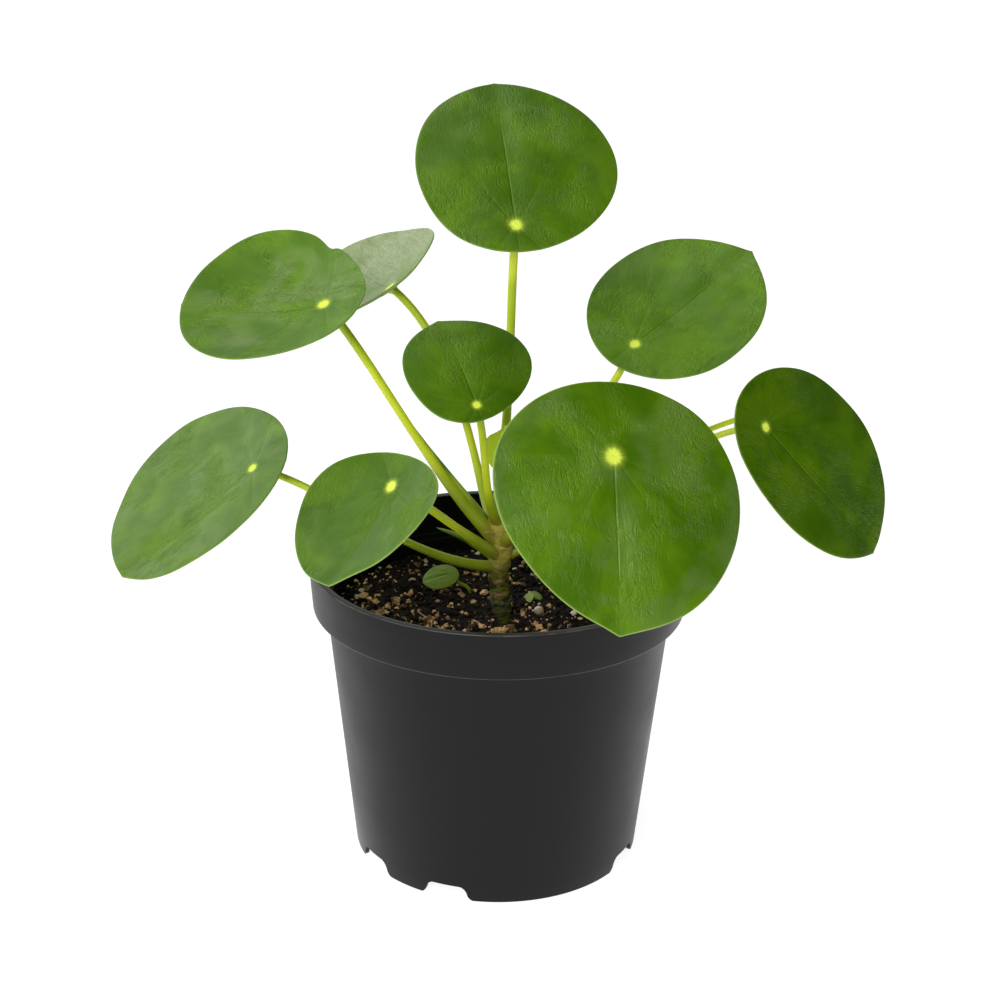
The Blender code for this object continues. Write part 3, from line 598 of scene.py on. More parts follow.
lengthwise = {0: flat, 1: (0.55, 1.25, 1.0)}
lengthwise = wires.add("ShaderNodeVectorMath", lengthwise, operation="MULTIPLY").outputs[0]
fine = wires.noise(lengthwise, 0.42, 4.0, 0.55, 1.6)
patchy = wires.fade(wires.noise(flat, 0.07, 2.0, 0.5, 0.5), 0.42, 0.62, 0.12, 1.0)
wires.put(result["Wrinkles"], wires.times(wires.apart(fine, 0.5), patchy))
wires.put(result["Clouds"], wires.noise(flat, 0.075, 3.0, 0.5, 0.4))
# slow patches of painted sheen: grey-green laid into the colour, where the surface is also glossier
elsewhere = wires.add("ShaderNodeVectorMath", {0: flat, 1: (17.0, 5.0, 9.0)}).outputs[0]
wires.put(result["Painted Sheen"], wires.fade(wires.noise(elsewhere, 0.06, 3.0, 0.55, 0.8), 0.42, 0.66))
print("leaf figure has", len(leaf_group.nodes), "nodes")


# %% The leaves' greens
DEEP_GREEN = colour(74, 118, 0)
LIGHT_GREEN = colour(102, 146, 4)
# painted sheen: the grey-green that stands in for the satin surface's reflection
PAINTED_SHEEN_GREY = colour(124, 150, 84)
VEIN_GREEN = colour(126, 164, 44)
MARGIN_GREEN = colour(176, 206, 96)
HUB_PALE = colour(236, 255, 88)
# painted glow: the pale hub spot gives off a little light of its own, for the light that comes through it
HUB_PAINTED_GLOW = 0.2
GLOSS_TINT = (0.8, 1.0, 0.5, 1.0)
UNDERSIDE_GREEN = colour(118, 154, 66)
YOUNG_GREEN = colour(204, 230, 30)
YOUNG_LEAVES = ("young_leaf", "plantlet_leaf")
OWN_GREENS = {                 # deep, light and vein green of the leaves that have their own
    "young_leaf": (YOUNG_GREEN, colour(214, 234, 60), colour(224, 240, 90)),
    "plantlet_leaf": (colour(104, 134, 30), colour(138, 160, 56), VEIN_GREEN),
    # the back left leaf's pale grey-green is painted sheen, the white reflection on its right half
    "back_left_leaf": (colour(112, 142, 66), colour(166, 178, 138), VEIN_GREEN),
}
PALE_EDGED = ("front_right_leaf", "front_left_leaf")
# how light a leaf's greens are, how glossy it is and how much painted sheen lies on it, where not as usual
# painted shade and painted light: a leaf turned away from the lamps has darker greens, one facing them
# lighter
PAINTED_LIGHT_AND_SHADE = {"top_leaf": 0.88, "upper_left_leaf": 1.08, "centre_leaf": 0.86, "far_right_leaf": 0.76,
         "lower_left_leaf": 0.9, "front_left_leaf": 0.84}
GLOSSES = {"far_right_leaf": 0.15, "centre_leaf": 0.25, "front_left_leaf": 0.3}
PAINTED_SHEEN_SHARES = {"far_right_leaf": 0.0, "centre_leaf": 0.04, "front_left_leaf": 0.08, "top_leaf": 0.15,
          "front_right_leaf": 0.35, "upper_left_leaf": 0.6, "back_left_leaf": 0.3, "young_leaf": 0.3,
          "plantlet_leaf": 0.3}


def leaf_greens(leaf):
    """The deep, light and vein green of a leaf."""
    if leaf.name in OWN_GREENS:
        return OWN_GREENS[leaf.name]
    # painted shade and painted light, for how much light this leaf catches
    tone = PAINTED_LIGHT_AND_SHADE.get(leaf.name, 1.0)
    deep, light = (tuple(level * tone for level in green[:3]) + (1.0,) for green in (DEEP_GREEN, LIGHT_GREEN))
    return deep, light, VEIN_GREEN


def leaf_figure(wires, leaf):
    """The masks of the leaf figure, laid out on one leaf."""
    return wires.group(leaf_group, Place=wires.noted("leaf_place"), Length=leaf.length,
                       Seed=leaf.faces * 0.37 + leaf.length, Hub_Size=HUB_SIZES.get(leaf.name, 1.0))


# %% Upper and lower finish of a leaf
def upper_finish(leaf):
    """The satiny upper face of one leaf. Its hub has a painted glow, for the light that comes through it."""
    material, wires, shader = new_material(leaf.name + "_upper")
    figure = leaf_figure(wires, leaf)
    deep, light, vein_green = leaf_greens(leaf)
    vein_share, margin_share = (0.3, 0.6) if leaf.name in PALE_EDGED else (0.18, 0.2)
    tone = wires.plus(wires.times(figure["Clouds"], 0.85), wires.times(figure["Streaks"], 0.15))
    green = wires.mix(wires.fade(tone, 0.34, 0.66), deep, light)
    # painted sheen: grey-green laid over the greens in patches
    green = wires.mix(wires.times(figure["Painted Sheen"], PAINTED_SHEEN_SHARES.get(leaf.name, 0.2)), green, PAINTED_SHEEN_GREY)
    green = wires.mix(wires.times(figure["Veins"], vein_share), green, vein_green)
    green = wires.mix(wires.times(figure["Margin"], margin_share), green, MARGIN_GREEN)
    hub = wires.times(figure["Hub"], 0.0 if leaf.name == "plantlet_leaf" else 1.0)
    raised = wires.minus(wires.times(figure["Streaks"], 0.35), wires.times(figure["Veins"], 0.5))
    raised = wires.plus(raised, wires.times(figure["Wrinkles"], -3.0))
    # the hub's emission is a painted glow
    wires.dress(shader, Base_Color=wires.mix(hub, green, HUB_PALE), Emission_Color=HUB_PALE,
                Emission_Strength=wires.times(hub, HUB_PAINTED_GLOW),
                Roughness=wires.fade(figure["Painted Sheen"], 0.0, 1.0, 0.38, 0.28),
                Specular_IOR_Level=GLOSSES.get(leaf.name, 0.5), Specular_Tint=GLOSS_TINT,
                Normal=wires.bump(raised, 0.5 * MM, 0.75))
    return material


def underside_finish(leaf):
    """The paler, duller lower face, where the veins stand out."""
    material, wires, shader = new_material(leaf.name + "_underside")
    figure = leaf_figure(wires, leaf)
    green = YOUNG_GREEN if leaf.name == "young_leaf" else UNDERSIDE_GREEN
    green = wires.mix(wires.fade(figure["Clouds"], 0.35, 0.65), green, colour(120, 152, 92))
    green = wires.mix(wires.times(figure["Veins"], 0.6), green, colour(176, 196, 110))
    green = wires.mix(wires.times(figure["Margin"], 0.6), green, colour(160, 190, 96))
    raised = wires.plus(wires.times(figure["Veins"], 0.9), wires.times(figure["Wrinkles"], -0.6))
    wires.dress(shader, Base_Color=green, Roughness=0.6, Specular_IOR_Level=0.35,
                Normal=wires.bump(raised, 0.4 * MM, 0.6))
    return material


fine_blades = []
for leaf in LEAVES:
    blade = make_blade(leaf, upper_finish(leaf), underside_finish(leaf))
    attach(blade, "root")
    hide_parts(leaf.name + "_blade")
    fine_blades.append(blade)
print(len(fine_blades), "blades of", len(fine_blades[0].data.polygons), "faces")

# %% [markdown]
# ## The stalks
# A stalk is a long, smooth, waxy rod. It is thickest where it leaves the stem and swells again just under
# the blade. A curve with a bevel could do it, but a swept mesh lets the ends flare, and lets each point keep
# its place along the stalk for the finish.

# %% Sweep a tube along a line
STALK_SIDES = 20
STALK_STEPS = 64
STALK_TAPER = 0.35             # the part of a stalk along which it thins
GAP = 0.3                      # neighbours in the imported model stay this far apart
BOSS_DEPTH = 2.4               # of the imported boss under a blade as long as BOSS_FULL_LENGTH
BOSS_LEAST = 0.3               # the share of that depth which even the smallest blade's boss has
BOSS_FULL_LENGTH = 28
BOSS_FLARE = 0.3               # how much wider than its stalk a boss is
BOSS_CLEAR = 0.2               # how far its end stays below the blade
HUB_STEPS = 6                  # steps of the flare at a stalk's top, and of its stub in the stem
HUB_FLARE = 0.8                # how much wider a stalk ends at the blade
ROOT_FLARE = 0.5               # and at the stem
TOP_DEPTH = 0.7                # where its middle line ends, as a share of the blade's thickness
COVER = 0.55                   # flesh of the blade left over the end of its stalk


def swept(line, radii, sides):
    """Points and faces of a round bar along a line of points, closed at both ends."""
    points = []
    across = (line[1] - line[0]).normalized().orthogonal().normalized()
    for i, centre in enumerate(line):
        tangent = (line[min(i + 1, len(line) - 1)] - line[max(i - 1, 0)]).normalized()
        across = (across - tangent * across.dot(tangent)).normalized()
        other = tangent.cross(across)
        points += [tuple(centre + (across * x + other * y) * radii[i]) for x, y in ways_round(sides)]
    ends = len(points)
    points += [tuple(line[0]), tuple(line[-1])]
    faces = grid_faces(len(line), sides, flip=True)
    return points, faces + fan(ends, 0, sides, flip=True) + fan(ends + 1, ends - sides, sides)


def boss_depth(leaf):
    """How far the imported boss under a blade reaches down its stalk."""
    grown = BOSS_DEPTH * min(1.0, BOSS_LEAST + (1 - BOSS_LEAST) * leaf.length / BOSS_FULL_LENGTH)
    square = heading(*leaf.arrives).dot(heading(leaf.faces, leaf.upward))
    clear = BLADE_THICKNESS + BOSS_CLEAR + (leaf.thick[1] + BOSS_FLARE) * sqrt(1 - square ** 2)
    return max(grown, clear / square)


print("the packed top leaf's boss reaches", round(boss_depth(LEAVES[0]), 2), "mm down its stalk")

# %% The stem's line
STEM_LINE = (
    ((1.6, -8.5, 58.0), 1.9),
    ((1.6, -8.5, 69.0), 1.9),
    ((0.8, -8.5, 75.0), 2.6),
    ((0.2, -8.5, 80.0), 2.6),
    ((-0.2, -8.5, 85.0), 2.7),
    ((0.8, -8.5, 91.0), 2.9),
    ((0.2, -8.5, 96.0), 2.8),
    ((-0.8, -8.3, 100.0), 2.4),
    ((-1.0, -8.2, 102.5), 1.9),
)
SCAR_HEIGHTS = (73.5, 78.6, 82.5, 87.0, 92.5, 97.5)
SCAR_SWELL = 0.45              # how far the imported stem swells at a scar
SCAR_HALF_HEIGHT = 0.7
STUB_LEAST = 4.6               # the shortest way from the stem's middle to a packed stalk


def stem_at(height):
    """Middle of the stem and its plain radius at a height."""
    for (low, low_radius), (high, high_radius) in zip(STEM_LINE, STEM_LINE[1:]):
        if height <= high[2]:
            share = max(0.0, (height - low[2]) / (high[2] - low[2]))
            middle = Vector(low).lerp(Vector(high), share)
            return middle, low_radius + (high_radius - low_radius) * share
    return Vector(STEM_LINE[-1][0]), STEM_LINE[-1][1]


def stub_length(leaf):
    """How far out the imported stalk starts, clear of the stem's side or top."""
    _, radius = stem_at(leaf.node)
    rise = radians(leaf.rise)
    thick = leaf.thick[0]
    beside = (radius + SCAR_SWELL + GAP + thick * sin(rise)) / cos(rise)
    above = (STEM_LINE[-1][0][2] + GAP - leaf.node + thick * cos(rise)) / sin(rise)
    return max(STUB_LEAST, min(beside, above))


print("the stem stands", STEM_LINE[-1][0][2] - STEM_LINE[1][0][2], "mm out of the mix")

# %% Make one stalk
def stalk_line(leaf):
    """The stalk's middle line, from inside the stem or soil to the blade, and its radii."""
    way = heading(leaf.side, leaf.rise)
    arrive = heading(*leaf.arrives)
    if leaf.name in ROOTED:
        start = Vector(ROOTED[leaf.name])
        line = []
    else:
        root = stem_at(leaf.node)[0]
        start = root + way * stub_length(leaf)
        line = [root.lerp(start, i / HUB_STEPS) for i in range(1, HUB_STEPS)]
    end = Vector(leaf.hub) - arrive * (boss_depth(leaf) + GAP)
    first = start + way * leaf.pulls[0]
    second = end - arrive * leaf.pulls[1]
    swell = ROOT_FLARE * leaf.thick[0] / 2
    radii = [leaf.thick[0] + swell * (1 - i / (HUB_STEPS - 1)) for i in range(len(line))]
    for i in range(STALK_STEPS + 1):
        t = i / STALK_STEPS
        point = start * (1 - t) ** 3 + first * 3 * (1 - t) ** 2 * t
        line.append(point + second * 3 * (1 - t) * t ** 2 + end * t ** 3)
        radii.append(leaf.thick[0] + (leaf.thick[1] - leaf.thick[0]) * min(1.0, t / STALK_TAPER))
    top = Vector(leaf.hub) - blade_axes(leaf)[2] * BLADE_THICKNESS * TOP_DEPTH
    flare = HUB_FLARE * growth(leaf)
    for i in range(1, HUB_STEPS + 1):
        t = i / HUB_STEPS
        line.append(end.lerp(top, t))
        radii.append(leaf.thick[1] + flare * t ** 2)
    return line, radii


def make_stalk(leaf, material):
    line, radii = stalk_line(leaf)
    points, faces = swept(line, radii, STALK_SIDES)
    normal = blade_axes(leaf)[2]
    for n, point in enumerate(points):
        over = (Vector(point) - Vector(leaf.hub)).dot(normal) + COVER
        if over > 0 and n > STALK_SIDES * STALK_STEPS // 2:
            points[n] = tuple(Vector(point) - normal * over)
    stalk = add_piece(leaf.name + "_stalk_fine", points, faces, [material], 60)
    last = len(line) - 1
    places = [(row / last, k / STALK_SIDES, 0) for row in range(last + 1) for k in range(STALK_SIDES)]
    note(stalk, "stalk_place", places + [(0, 0, 0), (1, 0, 0)])
    return stalk


print("the top leaf's stalk has", len(stalk_line(LEAVES[0])[0]), "rings")

# %% Finish and place the stalks
def stalk_finish(name, light, deep):
    """Waxy yellow-green, palest at the blade, darker down the stalk and brown at its foot."""
    material, wires, shader = new_material(name)
    along = wires.split(wires.noted("stalk_place"))["X"]
    spot = wires.spot()
    grain = wires.group(grain_group, Place=spot, Size=1.2)
    green = wires.mix(wires.fade(grain["Patches"], 0.35, 0.65), deep, light)
    green = wires.mix(wires.fade(along, 0.9, 1.0, 0.0, 0.6), green, colour(200, 214, 90))
    green = wires.mix(wires.fade(along, 0.45, 0.1, 0.0, 0.6), green, colour(92, 116, 10))
    green = wires.mix(wires.times(wires.fade(along, 0.1, 0.02), 0.6), green, colour(136, 112, 44))
    dust = wires.group(dust_group, Place=spot, Amount=0.1, Speck_Size=0.8)["Mask"]
    wires.dress(shader, Base_Color=wires.mix(dust, green, colour(120, 110, 70)),
                Roughness=wires.fade(grain["Grain"], 0.3, 0.7, 0.34, 0.48),
                Normal=wires.bump(grain["Grain"], 0.08 * MM, 0.5))
    return material


stalk_green = stalk_finish("stalk_flesh", colour(222, 234, 44), colour(184, 206, 14))
young_stalk_green = stalk_finish("young_stalk_flesh", colour(190, 210, 60), colour(150, 178, 30))
for leaf in LEAVES:
    stalk = make_stalk(leaf, young_stalk_green if leaf.name in YOUNG_LEAVES else stalk_green)
    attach(stalk, "root")
    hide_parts(leaf.name + "_stalk")
print(len(LEAVES), "stalks")

# %% [markdown]
# ## The stem
# The short trunk is green-brown and ringed with the scars of fallen leaves. It is a swept tube whose radius
# swells at each scar and wobbles a little, because a smooth post would look like plastic. The ragged collar
# of old scales is a thin ring, the scales beside the stalks are thin curved spikes, and one long green
# sheath hugs the lowest part of the upper left stalk.

# %% Shapes of the stem and its scales
STEM_SIDES = 48
STEM_STEPS = 150
SCAR_SHARE = 0.6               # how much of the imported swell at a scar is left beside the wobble
STEM_WOBBLE = 0.32             # how rough the skin is
SCALE_STEPS = 12
SCALE_SIDES = 10
COLLAR = (77.2, 0.55, 2.4)     # height, how far it flares, height of its ragged flaps
STIPULES = (                   # height, azimuth, rise, length, radius
    (95.5, -40, 20, 7, 0.8),
    (79.0, 30, 55, 6, 0.6),
    (80.0, -60, 45, 5.5, 0.6),
)
GREEN_STIPULE = (87.4, -118, 17, 21.0, 1.3)
SHEATH_RUN = (0.04, 0.46)      # the part of the upper left stalk that its sheath hugs
SHEATH_RADIUS = 1.1
SHEATH_SIDES = 12


def stem_mesh():
    low, high = STEM_LINE[0][0][2], STEM_LINE[-1][0][2]
    line, radii = [], []
    for i in range(STEM_STEPS + 1):
        height = low + (high - low) * i / STEM_STEPS
        middle, radius = stem_at(height)
        swell = sum(exp(-((height - scar) / SCAR_HALF_HEIGHT) ** 2) for scar in SCAR_HEIGHTS)
        line.append(middle)
        radii.append(radius + SCAR_SHARE * SCAR_SWELL * swell)
    points, faces = swept(line, radii, STEM_SIDES)
    for n in range(len(line) * STEM_SIDES):
        point = Vector(points[n])
        middle = line[n // STEM_SIDES]
        out = (point - middle).normalized()
        knots = noise.noise(point * 0.42)
        rings = noise.noise(Vector((point.x * 0.7, point.y * 0.7, point.z * 1.9)))
        shreds = noise.noise(Vector((point.x * 2.4, point.y * 2.4, point.z * 3.1)))
        points[n] = tuple(point + out * STEM_WOBBLE * (knots + 0.9 * rings + 0.4 * shreds))
    return points, faces


def collar_mesh():
    """The dry, ragged remains of old scales in a ring round the stem."""
    height, flare, tall = COLLAR
    middle, radius = stem_at(height)
    points = []
    for out, hangs in ((0.05, 0.0), (0.35, 0.0), (0.5 + flare, tall), (0.25 + flare, tall)):
        for x, y in ways_round(STEM_SIDES):
            way = Vector((x, y, 0))
            ragged = 0.45 + 0.75 * noise.noise(way * 2.6 + Vector((4, 1, 0)))
            ragged += 0.3 * noise.noise(way * 8.0)
            points.append(tuple(middle + way * (radius + out) - Vector((0, 0, hangs * max(0.1, ragged)))))
    return points, grid_faces(4, STEM_SIDES, closed=True)


def scale_mesh(root, way, length, radius):
    """A thin pointed scale, cupped round the stem and bent a little outward."""
    line, radii = [], []
    for i in range(SCALE_STEPS + 1):
        t = i / SCALE_STEPS
        line.append(root + way * length * t + Vector((0, 0, 0.06 * length)) * sin(pi * t))
        radii.append(radius * (1 - t) ** 0.6 + 0.05)
    return swept(line, radii, SCALE_SIDES)


def sheath_mesh():
    """The long green scale that hugs the upper left stalk, thinning to a point."""
    leaf = next(leaf for leaf in LEAVES if leaf.name == "upper_left_leaf")
    stalk, thick = stalk_line(leaf)
    first, last = (int(share * len(stalk)) for share in SHEATH_RUN)
    line, radii = [], []
    for i in range(first, last):
        t = (i - first) / (last - 1 - first)
        along = (stalk[i + 1] - stalk[i - 1]).normalized()
        beside = along.cross(Vector((0, -1, 0))).normalized()
        away = thick[i] * (0.75 + 0.3 * sin(pi * t))
        line.append(stalk[i] + beside * away + Vector((0, 0.5, 0)))
        radii.append(SHEATH_RADIUS * (1 - t) ** 0.7 + 0.06)
    return swept(line, radii, SHEATH_SIDES)


def joined(parts):
    """Several (points, faces) as one."""
    points, faces = [], []
    for some_points, some_faces in parts:
        start = len(points)
        points += list(some_points)
        faces += [tuple(start + corner for corner in face) for face in some_faces]
    return points, faces


print("the sheath has", len(sheath_mesh()[0]), "points")

# %% Bark and scales
def bark_finish():
    """Olive skin, lighter above and darker below, with pale pinkish scars."""
    material, wires, shader = new_material("stem_skin")
    spot = wires.spot()
    grain = wires.group(grain_group, Place=spot, Size=0.6)
    blotches = wires.group(grain_group, Place=spot, Size=0.14)["Patches"]
    height = wires.split(spot)["Z"]
    skin = wires.mix(wires.fade(blotches, 0.4, 0.6), colour(42, 34, 8), colour(100, 106, 16))
    skin = wires.mix(wires.fade(height, 80 * MM, 93 * MM, 0.0, 0.9), skin, colour(190, 178, 64))
    skin = wires.mix(wires.fade(height, 78 * MM, 75 * MM, 0.0, 0.75), skin, colour(48, 52, 7))
    scars = 0.0
    for scar in SCAR_HEIGHTS:
        scars = wires.most(scars, wires.fade(wires.apart(height, scar * MM), 1.1 * MM, 0.2 * MM))
    scars = wires.times(scars, wires.fade(grain["Patches"], 0.42, 0.6))
    scars = wires.times(scars, wires.fade(height, 76 * MM, 92 * MM, 0.35, 0.95))
    skin = wires.mix(scars, skin, colour(206, 158, 112))
    dust = wires.group(dust_group, Place=spot, Amount=0.4, Speck_Size=0.7)["Mask"]
    dust = wires.times(dust, wires.fade(height, 92 * MM, 80 * MM))
    wires.dress(shader, Base_Color=wires.mix(dust, skin, colour(34, 24, 14)), Roughness=0.55,
                Normal=wires.bump(grain["Grain"], 0.35 * MM, 0.9))
    return material


def scale_finish():
    """The green scales that are still alive."""
    material, wires, shader = new_material("green_scale")
    grain = wires.group(grain_group, Place=wires.spot(), Size=0.8)
    green = wires.mix(wires.fade(grain["Patches"], 0.35, 0.65), colour(84, 112, 12), colour(156, 182, 44))
    wires.dress(shader, Base_Color=green, Roughness=0.45, Normal=wires.bump(grain["Grain"], 0.2 * MM, 0.8))
    return material


def stipule(height, side, rise, length, radius):
    return scale_mesh(stem_at(height)[0], heading(side, rise), length, radius)


parts = [stem_mesh(), collar_mesh()] + [stipule(*numbers) for numbers in STIPULES]
brown_faces = sum(len(some_faces) for _, some_faces in parts)
parts += [stipule(*GREEN_STIPULE), sheath_mesh()]
points, faces = joined(parts)
stem = add_piece("main_stem_fine", points, faces, [bark_finish(), scale_finish()], 50)
stem.data.polygons.foreach_set("material_index", [int(n >= brown_faces) for n in range(len(faces))])
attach(stem, "root")
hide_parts("main_stem")
print("stem with", len(STIPULES) + 2, "scales")

# %% [markdown]
# ## The sprout
# A seedling has come up beside the stem: two small fleshy leaves on one thread of a shoot. It uses the
# same blade maker as the big leaves, since only the numbers differ.

# %% Make the sprout
SPROUT_RADIUS = 0.7
SPROUT_SHRINK = 0.72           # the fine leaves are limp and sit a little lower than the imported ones
SHOOT_STEPS = 12
SHOOT_SIDES = 16
SPROUT_BLADE = (48, 8)         # sides and rings of its blades


def sprout_finish():
    """Pale soft green with specks of soil."""
    material, wires, shader = new_material("sprout_flesh")
    spot = wires.spot()
    grain = wires.group(grain_group, Place=spot, Size=0.5)
    green = wires.mix(wires.fade(grain["Patches"], 0.3, 0.7), colour(120, 146, 50), colour(172, 190, 100))
    dust = wires.group(dust_group, Place=spot, Amount=0.35, Speck_Size=0.4)["Mask"]
    wires.dress(shader, Base_Color=wires.mix(dust, green, colour(60, 48, 26)), Roughness=0.5,
                Normal=wires.bump(grain["Grain"], 0.15 * MM, 0.6))
    return material


parts = []
for leaf in SPROUT_LEAVES:
    points, faces, _, _ = blade_mesh(leaf, *SPROUT_BLADE)
    parts.append((points.tolist(), faces))
foot = Vector(SPROUT_ROOT)
shoot = [foot.lerp(Vector(SPROUT_TOP), i / SHOOT_STEPS) for i in range(SHOOT_STEPS + 1)]
parts.append(swept(shoot, [SPROUT_RADIUS] * len(shoot), SHOOT_SIDES))
points, faces = joined(parts)
points = [tuple(foot + (Vector(point) - foot) * SPROUT_SHRINK) for point in points]
sprout = add_piece("sprout_fine", points, faces, [sprout_finish()], 60)
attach(sprout, "root")
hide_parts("sprout")
print("sprout of", len(SPROUT_LEAVES), "leaves")

# %% [markdown]
# ## The pot
# A nursery pot is one thin shell, blown or pressed from black plastic: a tapered body, a wider band that
# stops it sliding into the next pot, a rolled lip, and notches in its foot that let water out. The packed
# shell is turned with 48 sides. Here it is turned with 144, its corners are rounded, and the same notches
# and drain holes are cut out with booleans.

# %% Pot dimensions
RIM_RADIUS = 52.5
POT_HEIGHT = 85.5
BASE_RADIUS = 40.2
BAND_HEIGHT = 13.1
BAND_FOOT_RADIUS = 51.5
BODY_TOP_RADIUS = 47.8
WALL = 1.2                     # thickness of body and floor
LIP_WIDTH = 2.0                # the band's wall thickens up to its lip
FLOOR_UNDERSIDE = 4.8
POT_SIDES = 144
WALL_STEP = 6.0                # the spacing of rings on the long walls
NOTCH_PAIRS = (-38, 82, 202)   # azimuths of the middles of the three pairs of notches
NOTCH_SPREAD = 18.7            # degrees from a pair's middle to each of its notches
NOTCH_HEIGHT = 4.3
NOTCH_FOOT_HALF = 8.2
NOTCH_TOP_HALF = 3.6
NOTCH_CURVE = 1.5              # above 1, the flanks bend more at their ends
NOTCH_CUT = (-4.0, 3.0)        # how far the cut reaches inward and outward from the foot's edge
DRAIN_RADIUS = 3.5
DRAIN_CIRCLE = 28              # radius of the circle of six holes round the middle one
DRAIN_SIDES = 32
SHARP_ANGLE = 35               # edges with a sharper turn aren't shaded smooth


def body_radius(height):
    """Outer radius of the tapered body at a height."""
    return BASE_RADIUS + (BODY_TOP_RADIUS - BASE_RADIUS) * height / (POT_HEIGHT - BAND_HEIGHT)


def rounded(corner, before, after, size, steps=4):
    """Points of an arc that rounds one corner of a profile, all as (radius, height)."""
    corner, before, after = (Vector((x, z)) for x, z in (corner, before, after))
    start = corner + (before - corner).normalized() * size
    end = corner + (after - corner).normalized() * size
    arc = []
    for i in range(steps + 1):
        t = i / steps
        arc.append(tuple(start * (1 - t) ** 2 + corner * 2 * t * (1 - t) + end * t ** 2))
    return arc


print("the body is", round(body_radius(FLOOR_UNDERSIDE), 1), "mm in radius at its floor")

# %% The shell's profile
def turned(name, profile, sides, materials):
    """A piece turned about the vertical axis from a closed loop of (radius, height)."""
    points = [(radius * x, radius * y, height) for radius, height in profile for x, y in ways_round(sides)]
    return add_piece(name, points, grid_faces(len(profile), sides, flip=True, closed=True), materials)


def between(start, end):
    """Points along a long straight side, which keep the cuts at the foot from spoiling the wall."""
    count = int(hypot(end[0] - start[0], end[1] - start[1]) / WALL_STEP)
    return [tuple(Vector(start).lerp(Vector(end), i / (count + 1))) for i in range(1, count + 1)]


def pot_profile():
    """The shell's outline: (radius, height, rounding) at each corner, as one closed loop."""
    ledge = POT_HEIGHT - BAND_HEIGHT
    floor_top = FLOOR_UNDERSIDE + WALL
    corners = [
        (BASE_RADIUS, 0, 0.4), (BODY_TOP_RADIUS, ledge, 0.5), (BAND_FOOT_RADIUS, ledge, 0.7),
        (RIM_RADIUS, POT_HEIGHT, 0.45), (RIM_RADIUS - LIP_WIDTH, POT_HEIGHT, 0.45),
        (BAND_FOOT_RADIUS - WALL, ledge + WALL, 0.7), (BODY_TOP_RADIUS - WALL, ledge + WALL, 0.5),
        (body_radius(floor_top) - WALL, floor_top, 1.0), (1.0, floor_top, 0.1),
        (1.0, FLOOR_UNDERSIDE, 0.1), (body_radius(FLOOR_UNDERSIDE) - WALL, FLOOR_UNDERSIDE, 0.6),
        (BASE_RADIUS - WALL, 0, 0.4),
    ]
    profile = []
    for i, (radius, height, size) in enumerate(corners):
        before = corners[i - 1][:2]
        after = corners[(i + 1) % len(corners)][:2]
        profile += rounded((radius, height), before, after, size)
        profile += between((radius, height), after)
    return profile


print("the shell's profile has", len(pot_profile()), "points")

# %% Cutters for notches and drain holes
def prism(outline_points, inner, outer, azimuth):
    """A block with the given upright outline, from one radius to another, on one side of the pot."""
    outward = heading(azimuth)
    sideways = Vector((0, 0, 1)).cross(outward)
    points = []
    for radius in (inner, outer):
        for across, up in outline_points:
            points.append(tuple(outward * radius + sideways * across + Vector((0, 0, up))))
    count = len(outline_points)
    faces = [tuple(range(count))[::-1], tuple(range(count, 2 * count))]
    for i in range(count):
        j = (i + 1) % count
        faces.append((i, j, j + count, i + count))
    return add_piece("cutter", points, faces, [])


def notch_outline(steps=16):
    """One notch: wide at the foot, with S-curved flanks up to a narrow top."""
    middle = (NOTCH_FOOT_HALF + NOTCH_TOP_HALF) / 2
    swing = (NOTCH_FOOT_HALF - NOTCH_TOP_HALF) / 2
    flank = []
    for step in range(steps + 1):
        share = step / steps
        way = 1 - 2 * share
        bulge = copysign(abs(way) ** NOTCH_CURVE, way)
        flank.append((middle + swing * bulge, NOTCH_HEIGHT * (1 - cos(pi * share)) / 2))
    return [(-NOTCH_FOOT_HALF, -1), (NOTCH_FOOT_HALF, -1)] + flank + [(-x, z) for x, z in reversed(flank)]


def cut(piece, cutters):
    """Takes every cutter out of the piece and removes them."""
    for cutter in cutters:
        modifier = piece.modifiers.new("cut", "BOOLEAN")
        modifier.operation = "DIFFERENCE"
        modifier.solver = "EXACT"
        modifier.object = cutter
    depsgraph = bpy.context.evaluated_depsgraph_get()
    result = bpy.data.meshes.new_from_object(piece.evaluated_get(depsgraph))
    piece.modifiers.clear()
    piece.data = result
    for cutter in cutters:
        bpy.data.objects.remove(cutter, do_unlink=True)


def drain(x, y):
    """A cutter for one round hole in the floor."""
    line = [Vector((x, y, FLOOR_UNDERSIDE - 1)), Vector((x, y, FLOOR_UNDERSIDE + WALL + 1))]
    points, faces = swept(line, [DRAIN_RADIUS] * 2, DRAIN_SIDES)
    return add_piece("cutter", points, faces, [])


print("a notch has", len(notch_outline()), "points")

# %% [markdown]
# ## Black plastic
# Pressed plastic is never quite black or quite smooth. A fine spark texture from the mould makes it satin,
# slow patches vary the gloss, the lip's edges and the band's foot are painted paler, partly as wear and
# partly as painted highlights, and a little soil dust lies on what faces up.

# %% Pot finish and the pot itself
# these edges are painted paler: partly wear, partly painted highlights
EDGE_HIGHLIGHTS_AND_WEAR = (               # (radius, height) of the lip's two edges and of the band's foot
    (RIM_RADIUS, POT_HEIGHT),
    (RIM_RADIUS - LIP_WIDTH, POT_HEIGHT),
    (BAND_FOOT_RADIUS, POT_HEIGHT - BAND_HEIGHT),
)


